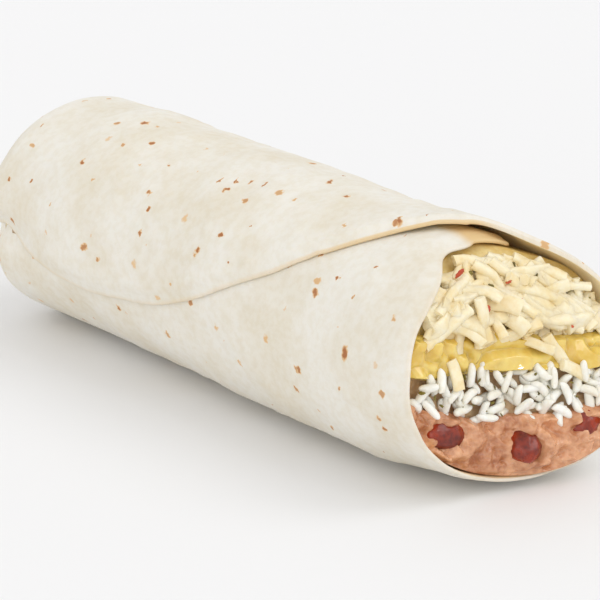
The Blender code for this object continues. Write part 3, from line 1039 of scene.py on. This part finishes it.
@dataclass
class Scatter(Piece):
    """Many small pieces strewn over the open face, each turned and sized on its own."""

    count: int = 40
    seed: int = 1
    layers: tuple[float, ...] = (0.0,)
    length: float = 6.0
    width: float = 2.0
    height: float = 2.0
    tilt: float = 20.0
    spread: float = 0.2
    variants: int = 4
    bend: float = 0.6
    rumple: float = 0.1
    roll: float = 180.0
    heading: float = 0.0
    heading_spread: float = 180.0
    region: Callable[[float, float], bool] = lambda y, z: True
    box: tuple[float, float, float, float] = (-34.0, 34.0, 2.0, 60.0)
    spacing: float = 2.0
    fixed: tuple[tuple[float, ...], ...] = ()

    def place(self, y: float, z: float, turn: float, depth: float, length: float,
              dice: np.random.Generator) -> tuple | None:
        """Lay one piece on the face.

        Args:
            y: Its middle across the roll.
            z: Its middle's height.
            turn: Its direction in the face; 0 is along +Y and 90 is up.
            depth: How far it lies behind the face.
            length: Its length.
            dice: The source of chance.

        Returns:
            Its spot, turn and size, or nothing where it would leave the opening.
        """
        a = math.radians(turn)
        half = length / 2 * 0.92
        ends = [(y + s * half * math.cos(a), z + s * half * math.sin(a)) for s in (-1, 1)]
        if not all(OPENING.holds(*end) for end in ends):
            return None
        first, last = (FACE.frame_at(*end)[0] for end in ends)
        spot, _, _, normal = FACE.frame_at(y, z)
        along = (last - first).normalized()
        lean = math.radians(dice.normal(0.0, self.tilt))
        along = (along * math.cos(lean) + normal * math.sin(lean)).normalized()
        side = normal.cross(along).normalized()
        turned = Matrix((along, side, along.cross(side))).transposed()
        roll = Matrix.Rotation(math.radians(dice.uniform(-self.roll, self.roll)), 3, "X")
        spot = spot - normal * depth
        size = (length / self.length, *(1.0 + self.spread * dice.uniform(-1, 1, 2)))
        return spot, (turned @ roll).to_euler(), size

    def places(self) -> list[tuple]:
        """Throw the pieces one by one, layer by layer, keeping their middles apart."""
        dice = np.random.default_rng(self.seed)
        kept = []
        for y, z, turn, depth, length in self.fixed:
            put = self.place(y, z, turn, depth, length, dice)
            if put:
                kept.append(put)
        for depth in self.layers:
            middles: list[tuple[float, float]] = []
            for _ in range(self.count * 12):
                if len(middles) >= self.count:
                    break
                y, z = dice.uniform(*self.box[:2]), dice.uniform(*self.box[2:])
                length = self.length * (1.0 + self.spread * dice.uniform(-1, 1))
                turn = self.heading + dice.uniform(-1, 1) * self.heading_spread
                shift = depth + dice.uniform(-0.5, 0.5)
                near = any(math.dist((y, z), other) < self.spacing for other in middles)
                if near or not self.region(y, z):
                    continue
                put = self.place(y, z, turn, shift, length, dice)
                if put:
                    middles.append((y, z))
                    kept.append(put)
        return kept

    def seeds_mesh(self) -> bpy.types.Object:
        """Return a mesh with one vertex for each piece, which holds its turn, size and kind."""
        kept = self.places()
        points = np.array([tuple(spot) for spot, _, _ in kept])
        obj = mesh_object(self.name, points, [])
        set_attribute(obj.data, "turn", [tuple(turn) for _, turn, _ in kept], "FLOAT_VECTOR")
        set_attribute(obj.data, "size", [size for _, _, size in kept], "FLOAT_VECTOR")
        dice = np.random.default_rng(self.seed + 100)
        set_attribute(obj.data, "kind", dice.integers(0, self.variants, len(kept)), "INT")
        return obj

    def shape_variant(self, graph: Graph, given: bpy.types.Node, seed: int) -> Any:
        """Return the geometry of one variant; each kind of food has its own."""
        raise NotImplementedError

    def tree(self) -> bpy.types.NodeTree:
        """Build the tree that sets a variant on every point, realizes it and roughens it."""
        name = f"strew_{self.name}"
        tree, graph, given, out = new_group(
            name, "GeometryNodeTree",
            [("Geometry", "NodeSocketGeometry"), ("Length", "NodeSocketFloat", 6.0),
             ("Width", "NodeSocketFloat", 2.0), ("Height", "NodeSocketFloat", 2.0),
             ("Bend", "NodeSocketFloat", 0.5), ("Rumple", "NodeSocketFloat", 0.1),
             ("Material", "NodeSocketMaterial")],
            [("Geometry", "NodeSocketGeometry")])
        gather = graph.add("GeometryNodeJoinGeometry")
        for seed in reversed(range(self.variants)):
            wrapped = graph.add("GeometryNodeGeometryToInstance",
                                {0: self.shape_variant(graph, given, seed)})
            tree.links.new(wrapped.outputs[0], gather.inputs[0])
        turn = graph.add("GeometryNodeInputNamedAttribute", {"Name": "turn"},
                         data_type="FLOAT_VECTOR")
        size = graph.add("GeometryNodeInputNamedAttribute", {"Name": "size"},
                         data_type="FLOAT_VECTOR")
        kind = graph.add("GeometryNodeInputNamedAttribute", {"Name": "kind"}, data_type="INT")
        euler = graph.add("FunctionNodeEulerToRotation", {0: turn.outputs[0]})
        points = graph.add("GeometryNodeMeshToPoints", {"Mesh": given.outputs["Geometry"]})
        strewn = graph.add("GeometryNodeInstanceOnPoints", {
            "Points": points.outputs[0], "Instance": gather.outputs[0], "Pick Instance": True,
            "Instance Index": kind.outputs[0], "Rotation": euler.outputs[0],
            "Scale": size.outputs[0]})
        real = graph.add("GeometryNodeRealizeInstances", {0: strewn.outputs[0]})
        spot = graph.add("GeometryNodeInputPosition").outputs[0]
        rough = graph.add("ShaderNodeTexNoise", {"Vector": spot, "Scale": 1.0 / (2.2 * MM),
                                                 "Detail": 1.0})
        centred = graph.vector_math("SUBTRACT", rough.outputs["Color"], (0.5, 0.5, 0.5))
        amount = graph.math("MULTIPLY", given.outputs["Rumple"], 2 * MM)
        scaled = graph.add("ShaderNodeVectorMath", {0: centred, 3: amount}, operation="SCALE")
        moved = graph.add("GeometryNodeSetPosition", {"Geometry": real.outputs[0],
                                                      "Offset": scaled.outputs[0]})
        smooth = graph.add("GeometryNodeSetShadeSmooth", {0: moved.outputs[0]})
        dressed = graph.add("GeometryNodeSetMaterial", {"Geometry": smooth.outputs[0],
                                                        "Material": given.outputs["Material"]})
        tree.links.new(dressed.outputs[0], out.inputs[0])
        return tree

    def build(self, finish: Finish) -> bpy.types.Object:
        """Strew the pieces and return them as one plain mesh.

        Args:
            finish: The finish of every piece.

        Returns:
            The dressed object.
        """
        obj = self.seeds_mesh()
        material = finish.build()
        modifier = obj.modifiers.new("Strew", "NODES")
        tree = self.tree()
        modifier.node_group = tree
        values = {"Length": self.length, "Width": self.width, "Height": self.height,
                  "Bend": self.bend, "Rumple": self.rumple, "Material": material}
        for item in tree.interface.items_tree:
            if item.in_out == "INPUT" and item.name in values:
                modifier[item.identifier] = values[item.name]
        seeds = obj.data
        settled = bpy.data.meshes.new_from_object(
            obj.evaluated_get(bpy.context.evaluated_depsgraph_get()))
        obj.modifiers.clear()
        obj.data = settled
        bpy.data.meshes.remove(seeds)
        settled.name = self.name
        return self.dress(obj, material)


OPENING = Opening()


@dataclass
class Shreds(Scatter):
    """Cheese shreds: square-cut strands with soft corners, a little bent and thinner at the tips."""

    def shape_variant(self, graph: Graph, given: bpy.types.Node, seed: int) -> Any:
        """Return one bent strand along X."""
        length = graph.math("MULTIPLY", given.outputs["Length"], MM)
        end = graph.add("ShaderNodeCombineXYZ", {0: graph.math("MULTIPLY", length, 0.5)})
        start = graph.add("ShaderNodeCombineXYZ", {0: graph.math("MULTIPLY", length, -0.5)})
        line = graph.add("GeometryNodeCurvePrimitiveLine", {"Start": start.outputs[0],
                                                            "End": end.outputs[0]})
        fine = graph.add("GeometryNodeResampleCurve", {"Curve": line.outputs[0], "Count": 11})
        share = graph.add("GeometryNodeSplineParameter").outputs["Factor"]
        place = graph.add("ShaderNodeCombineXYZ", {0: graph.math("MULTIPLY", share, 1.6),
                                                   1: 3.7 * seed + 0.3})
        wind = graph.add("ShaderNodeTexNoise", {"Vector": place.outputs[0], "Scale": 1.0,
                                                "Detail": 0.0})
        centred = graph.vector_math("SUBTRACT", wind.outputs["Color"], (0.5, 0.5, 0.5))
        sideways = graph.vector_math("MULTIPLY", centred, (0.0, 1.0, 1.0))
        amount = graph.math("MULTIPLY", given.outputs["Bend"], 4 * MM)
        bent = graph.add("ShaderNodeVectorMath", {0: sideways, 3: amount}, operation="SCALE")
        curve = graph.add("GeometryNodeSetPosition", {"Geometry": fine.outputs[0],
                                                      "Offset": bent.outputs[0]})
        reach = graph.math("ABSOLUTE", graph.math("MULTIPLY_ADD", share, 2.0, -1.0))
        taper = graph.math("POWER", reach, 4.0)
        swell = graph.math("MULTIPLY_ADD", wind.outputs[0], 0.7, 0.7)
        radius = graph.math("MULTIPLY", swell, graph.math("MULTIPLY_ADD", taper,
                                                          -0.5 - 0.08 * (seed % 3), 1.0))
        sized = graph.add("GeometryNodeSetCurveRadius", {"Curve": curve.outputs[0],
                                                         "Radius": radius})
        width = graph.math("MULTIPLY", given.outputs["Width"], MM)
        height = graph.math("MULTIPLY", given.outputs["Height"], MM)
        cut = graph.add("GeometryNodeCurvePrimitiveQuadrilateral", {"Width": width,
                                                                    "Height": height})
        corner = graph.math("MULTIPLY", height, 0.42)
        soft = graph.add("GeometryNodeFilletCurve", {"Curve": cut.outputs[0], "Radius": corner})
        set_menu(soft, "mode", "Mode", "POLY", "Poly")
        soft.inputs["Count"].default_value = 2
        rod = graph.add("GeometryNodeCurveToMesh", {"Curve": sized.outputs[0],
                                                    "Profile Curve": soft.outputs[0],
                                                    "Fill Caps": True})
        return rod.outputs[0]


def set_menu(node: bpy.types.Node, setting: str, socket: str, value: str, label: str) -> None:
    """Set an option that a node keeps as a property or, in other versions, as a menu input."""
    if hasattr(node, setting):
        setattr(node, setting, value)
    else:
        node.inputs[socket].default_value = label


@dataclass
class Grains(Scatter):
    """Rice grains: long, plump in the middle and blunt at both ends."""

    segments: int = 10
    rings: int = 9

    def shape_variant(self, graph: Graph, given: bpy.types.Node, seed: int) -> Any:
        """Return one slightly bent grain along X."""
        ball = graph.add("GeometryNodeMeshUVSphere", {"Segments": self.segments,
                                                      "Rings": self.rings, "Radius": 1.0})
        upright = graph.add("ShaderNodeSeparateXYZ", {0: graph.add("GeometryNodeInputPosition").outputs[0]})
        along, side, flat = upright.outputs[2], upright.outputs[0], upright.outputs[1]
        blunt = graph.math("MULTIPLY", graph.math("SIGN", along),
                           graph.math("POWER", graph.math("ABSOLUTE", along), 0.58))
        bow = graph.math("MULTIPLY", graph.math("MULTIPLY", along, along),
                         graph.math("MULTIPLY", given.outputs["Bend"], (0.5 + 0.3 * seed) * MM))
        half = [graph.math("MULTIPLY", given.outputs[key], 0.5 * MM)
                for key in ("Length", "Width", "Height")]
        place = graph.add("ShaderNodeCombineXYZ", {
            0: graph.math("MULTIPLY", blunt, half[0]),
            1: graph.math("SUBTRACT", graph.math("MULTIPLY", side, half[1]), bow),
            2: graph.math("MULTIPLY", flat, half[2])})
        grain = graph.add("GeometryNodeSetPosition", {"Geometry": ball.outputs[0],
                                                      "Position": place.outputs[0]})
        return grain.outputs[0]


@dataclass
class Flakes(Scatter):
    """Torn flakes, such as herbs and chilli: flat and ragged."""

    def shape_variant(self, graph: Graph, given: bpy.types.Node, seed: int) -> Any:
        """Return one ragged flake that lies in its own XY plane."""
        ball = graph.add("GeometryNodeMeshIcoSphere", {"Radius": 1.0, "Subdivisions": 3})
        spot = graph.add("GeometryNodeInputPosition").outputs[0]
        shifted = graph.vector_math("ADD", spot, (5.1 * seed, 2.3 * seed, 0.7 * seed))
        tear = graph.add("ShaderNodeTexNoise", {"Vector": shifted, "Scale": 1.3, "Detail": 2.0})
        reach = graph.math("MULTIPLY_ADD", tear.outputs[0], 1.6, 0.2)
        half = graph.add("ShaderNodeCombineXYZ", {
            i: graph.math("MULTIPLY", given.outputs[key], 0.5 * MM)
            for i, key in enumerate(("Length", "Width", "Height"))})
        sized = graph.vector_math("MULTIPLY", spot, half.outputs[0])
        torn = graph.add("ShaderNodeVectorMath", {0: sized, 3: reach}, operation="SCALE")
        flake = graph.add("GeometryNodeSetPosition", {"Geometry": ball.outputs[0],
                                                      "Position": torn.outputs[0]})
        return flake.outputs[0]


# ---- relief of the face


BEAN_SPOTS = {
    "whole_bean_1": ((84.2, -20.3, 17.0), (4.2, 7.0, 4.3), (-24.0, 0.0, 6.0)),
    "whole_bean_2": ((90.0, 0.0, 11.4), (6.5, 4.6, 4.2), (10.0, 0.0, -20.0)),
    "whole_bean_3": ((94.0, 17.0, 14.8), (4.4, 5.2, 3.4), (14.0, 0.0, 30.0)),
}


def mash_relief(points: np.ndarray) -> np.ndarray:
    """Return how mashed beans heave: broad lumps, creases between them and a fine grit."""
    broad = 1.7 * noise_at(points, 9.0, 11.0)
    crease = 2.2 * (0.35 - np.abs(noise_at(points, 5.2, 12.0)))
    small = 1.1 * noise_at(points, 2.3, 13.0) + 0.5 * noise_at(points, 1.0, 14.0)
    lift = broad + crease + small
    for centre, half, _ in BEAN_SPOTS.values():
        across = (points[:, 1] - centre[1]) / half[1]
        up = (points[:, 2] - centre[2]) / half[2]
        cover = 0.75 + 0.65 * np.sin(np.arctan2(up, across) + centre[0]) + noise_at(points, 3.5, 15.0)
        lift = lift + 2.6 * np.exp(-((np.hypot(across, up) - 0.95) / 0.42) ** 2) * cover
    return np.stack([lift, 0 * lift, 0.4 * small], -1)


def sauce_relief(points: np.ndarray) -> np.ndarray:
    """Return how thick sauce swells: smooth rounded blobs with soft seams."""
    seam = np.abs(noise_at(points, 6.5, 21.0))
    lift = 2.6 * np.minimum(seam * 2.4, 0.8) + 1.2 * noise_at(points, 9.0, 22.0)
    lift = lift + 0.8 * noise_at(points, 3.2, 23.0)
    return np.stack([lift, 0 * lift, 0 * lift], -1)


def core_relief(points: np.ndarray) -> np.ndarray:
    """Return the bumps of a core that lies under loose grains or shreds."""
    lift = 0.9 * noise_at(points, 3.2, 31.0) + 0.35 * noise_at(points, 1.3, 32.0)
    return np.stack([lift, 0 * lift, 0 * lift], -1)


@dataclass
class WholeBean(Piece):
    """A whole bean: a kidney with a slight dent on one side and a faintly uneven skin."""

    centre: tuple[float, float, float] = (0.0, 0.0, 0.0)
    half_sizes: tuple[float, float, float] = (5.0, 4.0, 4.0)
    turn: tuple[float, float, float] = (0.0, 0.0, 0.0)
    bend: float = 0.25
    dent: float = 0.12
    sink: float = 2.5
    segments: int = 56

    def build(self, finish: Finish) -> bpy.types.Object:
        """Make the bean where it sits.

        Args:
            finish: The bean skin's finish.

        Returns:
            The dressed object.
        """
        ball = bmesh.new()
        bmesh.ops.create_uvsphere(ball, u_segments=self.segments, v_segments=self.segments // 2,
                                  radius=1.0)
        longest = max(range(2), key=lambda axis: self.half_sizes[axis])
        spin = Euler([math.radians(a) for a in self.turn]).to_matrix()
        for vert in ball.verts:
            reach = vert.co[longest]
            dimple = self.dent * math.exp(-(reach / 0.35) ** 2) * max(0.0, -vert.co.z)
            skin = 1.0 + 0.07 * noise.noise(vert.co * 2.6 + Vector((self.centre[1], 0, 0)))
            form = Vector(half * c for half, c in zip(self.half_sizes, vert.co)) * skin
            form.z += (dimple - self.bend * reach ** 2) * self.half_sizes[2]
            vert.co = (spin @ form + Vector(self.centre) - Vector((self.sink, 0.0, 0.0))) * MM
        bmesh.ops.recalc_face_normals(ball, faces=ball.faces)
        mesh = bpy.data.meshes.new(self.name)
        ball.to_mesh(mesh)
        ball.free()
        mesh.shade_smooth()
        obj = bpy.data.objects.new(self.name, mesh)
        bpy.context.scene.collection.objects.link(obj)
        return self.dress(obj, finish.build())


# ---- the foods


class Food(Enum):
    """The finishes by name."""

    DOUGH = TortillaFinish(
        "tortilla_dough", srgb(236, 232, 222), srgb(225, 216, 196), broad_scale=5.0,
        fine_scale=42.0, fine_share=0.35, roughness=0.62, roughness_spread=0.08, bump=0.25,
        bump_depth=0.0004, glow=0.12, glow_colour=(1.0, 0.8, 0.55), marks=(
            ToastMark(-45.8, 70, 3.2, 2.0, 20, 0.9), ToastMark(-30.8, 45, 2.6, 1.8, -30, 0.8),
            ToastMark(-63.8, 75, 2.4, 1.8, 0, 0.7), ToastMark(14.2, 90, 5.0, 1.7, 60, 1.0),
            ToastMark(50.2, 78, 4.6, 2.0, 35, 0.9), ToastMark(2.2, 58, 2.4, 1.6, 10, 0.7),
            ToastMark(-12.0, 64, 2.4, 1.0, 60, 0.8), ToastMark(-7.0, 66.5, 3.2, 1.1, 55, 1.0),
            ToastMark(-3.0, 69, 2.4, 1.2, 50, 0.8), ToastMark(1.5, 71, 3.4, 1.2, 60, 1.0),
            ToastMark(60.2, 371, 5.2, 3.2, 80, 1.0), ToastMark(42.2, 392, 3.4, 2.2, 10, 0.85),
            ToastMark(40.2, 352, 2.8, 2.0, 40, 0.7), ToastMark(73.2, 343, 2.8, 2.0, 0, 0.7)))
    MASH = Finish(
        "mashed_beans", srgb(230, 172, 128), srgb(172, 104, 62), broad_scale=110.0,
        fine_scale=520.0, fine_share=0.4, roughness=0.34, roughness_spread=0.14, coat=0.6,
        coat_roughness=0.16, bump=0.55, bump_depth=0.0006, glow=0.08)
    BEAN = Finish(
        "bean_skin", srgb(164, 50, 8), srgb(92, 18, 3), broad_scale=160.0, fine_scale=900.0,
        fine_share=0.3, roughness=0.3, roughness_spread=0.08, coat=0.2, coat_roughness=0.12,
        bump=0.08, bump_depth=0.0002, glow=0.05)
    # Painted shade: the core's tan tones stand for the shade in the gaps between the loose grains.
    RICE_CORE = Finish(
        "rice_core", srgb(206, 178, 140), srgb(176, 136, 96), broad_scale=140.0,
        roughness=0.45, bump=0.2, glow=0.1, glow_colour=(1.0, 0.85, 0.7))
    RICE = Finish(
        "rice_grain", srgb(248, 247, 240), srgb(236, 230, 212), broad_scale=130.0,
        fine_scale=700.0, roughness=0.36, roughness_spread=0.08, coat=0.12, bump=0.08,
        glow=0.18, glow_scale=0.0014, glow_colour=(1.0, 0.85, 0.7))
    SAUCE = Finish(
        "chile_sauce", srgb(240, 213, 116), srgb(222, 182, 68), broad_scale=110.0,
        fine_scale=420.0, fine_share=0.3, roughness=0.15, roughness_spread=0.06, coat=1.0,
        coat_roughness=0.06, bump=0.05, glow=0.18, glow_scale=0.002,
        glow_colour=(1.0, 0.7, 0.25))
    # The core's golden tones are partly sauce soaking the cheese and partly painted warm shade between the
    # shreds.
    CHEESE_CORE = Finish(
        "cheese_core", srgb(238, 216, 152), srgb(218, 184, 104), broad_scale=120.0,
        roughness=0.45, bump=0.15, glow=0.12, glow_colour=(1.0, 0.8, 0.5))
    CHEESE = Finish(
        "cheese_shred", srgb(248, 238, 208), srgb(238, 214, 158), broad_scale=110.0,
        fine_scale=600.0, fine_share=0.3, roughness=0.42, roughness_spread=0.08, coat=0.1,
        bump=0.08, glow=0.18, glow_scale=0.0018, glow_colour=(1.0, 0.85, 0.55))
    HERB = Finish("herb", srgb(138, 124, 44), srgb(96, 82, 30), broad_scale=300.0, roughness=0.5)
    CHILLI = Finish("chilli_flake", srgb(214, 92, 40), srgb(176, 50, 22), broad_scale=260.0,
                    roughness=0.35, coat=0.3)


MASH_TOP = LEVELS.top("mash")
RICE_TOP = LEVELS.top("rice")
SAUCE_TOP = LEVELS.top("sauce")


def between(lower: Callable | None, upper: Callable | None) -> Callable[[float, float], bool]:
    """Return a test for places of the face between two levels.

    Args:
        lower: The level below, or nothing for the bottom.
        upper: The level above, or nothing for the top.

    Returns:
        A function of y and z.
    """
    def inside(y: float, z: float) -> bool:
        """Tell whether a place lies between the levels."""
        at = np.array([SHAPE.open_x]), np.array([y])
        above = lower is None or z > lower(*at)[0]
        return above and (upper is None or z < upper(*at)[0])
    return inside


def layer_pieces() -> list[tuple[Piece, Food]]:
    """Return the four layers and the sheet, with their finishes."""
    return [
        (Tortilla("tortilla_sheet", "tortilla", "tortilla"), Food.DOUGH),
        (Layer("mashed_bean_bed", "refried_beans", "refried_beans", ceiling=MASH_TOP,
               face=FACE.recessed(0.6, 0.0, 9.0, 1.0), stir=mash_relief, across=300, up=110),
         Food.MASH),
        (Layer("rice_bed", "rice", "rice", floor=MASH_TOP, ceiling=RICE_TOP,
               face=FACE.recessed(2.6, 0.6, 6.0, 2.0), stir=core_relief, across=200, up=40),
         Food.RICE_CORE),
        (Layer("sauce_pool", "chile_sauce", "chile_sauce", floor=RICE_TOP, ceiling=SAUCE_TOP,
               face=FACE.recessed(1.4, 0.0, 9.0, 3.0), stir=sauce_relief, across=220, up=60),
         Food.SAUCE),
        (Layer("cheese_bed", "shredded_cheese", "shredded_cheese", floor=SAUCE_TOP,
               face=FACE.recessed(3.6, 0.8, 7.0, 4.0), stir=core_relief, across=200, up=70),
         Food.CHEESE_CORE),
    ]


def bean_pieces() -> list[tuple[Piece, Food]]:
    """Return the whole beans of the open face."""
    return [(WholeBean(node + "_skin", "whole_bean", node, centre=centre, half_sizes=half,
                       turn=turn), Food.BEAN) for node, (centre, half, turn) in BEAN_SPOTS.items()]


def strewn_pieces() -> list[tuple[Piece, Food]]:
    """Return the scattered foods of the open face."""
    cheese = between(LEVELS.top("sauce", 2.6), None)
    rice = between(LEVELS.top("mash", 0.4), LEVELS.top("rice", 0.2))

    def seasoned(y: float, z: float) -> bool:
        """Tell whether herbs show at a place: among the rice and the cheese, not in the sauce."""
        return rice(y, z) or cheese(y, z)
    return [
        (Shreds("cheese_shreds", "shredded_cheese", count=27, seed=3, layers=(3.0, 1.7, 0.5, -0.5),
                length=13.5, width=3.5, height=2.0, tilt=9.0, spread=0.34, variants=8, bend=1.0,
                rumple=0.24, roll=38.0, heading=-38.0, heading_spread=62.0, region=cheese,
                box=(-34.0, 34.0, 30.0, 60.0), spacing=3.4,
                fixed=((4.0, 55.4, -4.0, 0.0, 17.0), (-7.0, 50.5, -38.0, -0.6, 15.0),
                       (9.0, 46.5, -42.0, -0.6, 16.0), (-4.0, 43.5, -8.0, -0.8, 17.0),
                       (21.0, 42.0, -48.0, -0.6, 12.0), (-20.0, 45.0, 30.0, -0.2, 11.0),
                       (13.0, 52.5, -30.0, 0.6, 13.0), (-14.0, 50.0, 40.0, 0.4, 10.0),
                       (16.0, 49.0, -45.0, -0.4, 12.0), (2.0, 52.0, 60.0, 0.6, 8.0))),
         Food.CHEESE),
        (Shreds("crown_shreds", "shredded_cheese", count=17, seed=23, layers=(1.6, 0.4),
                length=7.5, width=3.2, height=1.7, tilt=8.0, spread=0.25, variants=6, bend=0.6,
                rumple=0.24, roll=30.0, region=lambda y, z: z > 48.0,
                box=(-24.0, 26.0, 46.0, 60.0), spacing=2.4), Food.CHEESE),
        (Shreds("fallen_shreds", "shredded_cheese", count=2, seed=8, layers=(-0.4,),
                length=8.5, width=3.2, height=1.8, tilt=8.0, roll=20.0, variants=4, bend=0.6,
                rumple=0.14, region=between(RICE_TOP, SAUCE_TOP), box=(-24.0, 30.0, 24.0, 42.0), spacing=8.0,
                fixed=((13.0, 32.0, -55.0, -0.6, 11.0), (17.0, 27.0, -30.0, -0.6, 9.0))),
         Food.CHEESE),
        (Grains("rice_grains", "rice", count=28, seed=5, layers=(1.6, 0.5, -0.6), length=6.0,
                width=2.3, height=2.1, tilt=20.0, spread=0.14, variants=5, bend=0.7, rumple=0.05,
                region=rice, box=(-34.0, 34.0, 14.0, 38.0), spacing=3.0), Food.RICE),
        (Flakes("herb_bits", "shredded_cheese", count=58, seed=12, layers=(-0.5,), length=1.35,
                width=1.0, height=0.45, tilt=50.0, spread=0.5, variants=6, bend=0.0, rumple=0.05,
                region=seasoned, box=(-32.0, 32.0, 18.0, 58.0), spacing=2.6), Food.HERB),
        (Flakes("chilli_flakes", "shredded_cheese", count=3, seed=17, layers=(-0.6,), length=2.4,
                width=1.6, height=0.5, tilt=30.0, spread=0.3, variants=4, bend=0.0, rumple=0.05,
                region=cheese, box=(-26.0, 28.0, 34.0, 54.0), spacing=8.0,
                fixed=((-9.4, 53.3, 10.0, -1.9, 2.8), (2.9, 49.6, 60.0, -2.1, 2.4),
                       (18.8, 37.5, 30.0, -1.9, 2.8), (-7.1, 46.0, 0.0, -2.1, 2.0))),
         Food.CHILLI),
    ]


# ---- stage


@dataclass(frozen=True)
class Lamp:
    """One broad white light that comes from far away."""

    name: str
    strength: float
    spread: float
    azimuth: float
    elevation: float


@dataclass(frozen=True)
class Stage:
    """A plain pale floor, soft studio light and the camera."""

    floor_size: float = 6.0
    floor_tone: Colour = (0.878, 0.876, 0.88)
    sky: float = 0.84
    lamps: tuple[Lamp, ...] = (Lamp("key", 0.5, 34.0, 138.0, 52.0),
                               Lamp("front_fill", 0.45, 60.0, 30.0, 26.0),
                               Lamp("glint", 0.16, 5.0, 96.0, 44.0))
    azimuth: float = 51.0
    elevation: float = 19.5
    distance: float = 1400.0
    lens: float = 323.4
    target: tuple[float, float, float] = (-1.8, -2.0, 30.0)
    shift_right: float = 2.6
    shift_up: float = -4.4

    def direction(self, azimuth: float, elevation: float) -> Vector:
        """Return the unit direction towards an azimuth and an elevation."""
        a, e = math.radians(azimuth), math.radians(elevation)
        return Vector((math.sin(a) * math.cos(e), -math.cos(a) * math.cos(e), math.sin(e)))

    def floor(self) -> None:
        """Lay the floor and give the world its even white light."""
        half = self.floor_size / 2 / MM
        corners = np.array([(-half, -half, 0), (half, -half, 0), (half, half, 0), (-half, half, 0)])
        floor = mesh_object("floor", corners, [(0, 1, 2, 3)])
        material = bpy.data.materials.new("studio_floor")
        material.use_nodes = True
        shader = material.node_tree.nodes["Principled BSDF"]
        shader.inputs["Base Color"].default_value = (*self.floor_tone, 1.0)
        shader.inputs["Roughness"].default_value = 0.85
        floor.data.materials.append(material)
        world = bpy.data.worlds.new("studio")
        bpy.context.scene.world = world
        world.use_nodes = True
        sky = world.node_tree.nodes["Background"]
        sky.inputs["Color"].default_value = (1.0, 1.0, 1.0, 1.0)
        sky.inputs["Strength"].default_value = self.sky

    def light(self) -> None:
        """Set up the broad white lamps."""
        for lamp in self.lamps:
            light = bpy.data.lights.new(lamp.name, "SUN")
            light.energy = lamp.strength
            light.angle = math.radians(lamp.spread)
            obj = bpy.data.objects.new(lamp.name, light)
            towards = self.direction(lamp.azimuth, lamp.elevation)
            obj.location = towards
            obj.rotation_euler = (-towards).to_track_quat("-Z", "Y").to_euler()
            bpy.context.scene.collection.objects.link(obj)

    def camera(self) -> None:
        """Set up the camera and make it the scene's own."""
        data = bpy.data.cameras.new("camera")
        data.lens = self.lens
        camera = bpy.data.objects.new("camera", data)
        back = self.direction(self.azimuth, self.elevation)
        a = math.radians(self.azimuth)
        right = Vector((math.cos(a), math.sin(a), 0.0))
        up = back.cross(right)
        spot = (Vector(self.target) + right * self.shift_right + up * self.shift_up
                + back * self.distance)
        camera.location = spot * MM
        camera.rotation_euler = (-back).to_track_quat("-Z", "Y").to_euler()
        bpy.context.scene.collection.objects.link(camera)
        bpy.context.scene.camera = camera

    def build(self) -> None:
        """Build the floor, the light and the camera."""
        bpy.context.scene.view_settings.view_transform = "Standard"
        self.floor()
        self.light()
        self.camera()


def main() -> None:
    """Build every piece in order, then the stage."""
    logging.basicConfig(level=logging.INFO, format="%(name)s: %(message)s")
    for piece, food in layer_pieces() + bean_pieces() + strewn_pieces():
        piece.build(food.value)
    Stage().build()


if __name__ == "__main__":
    main()
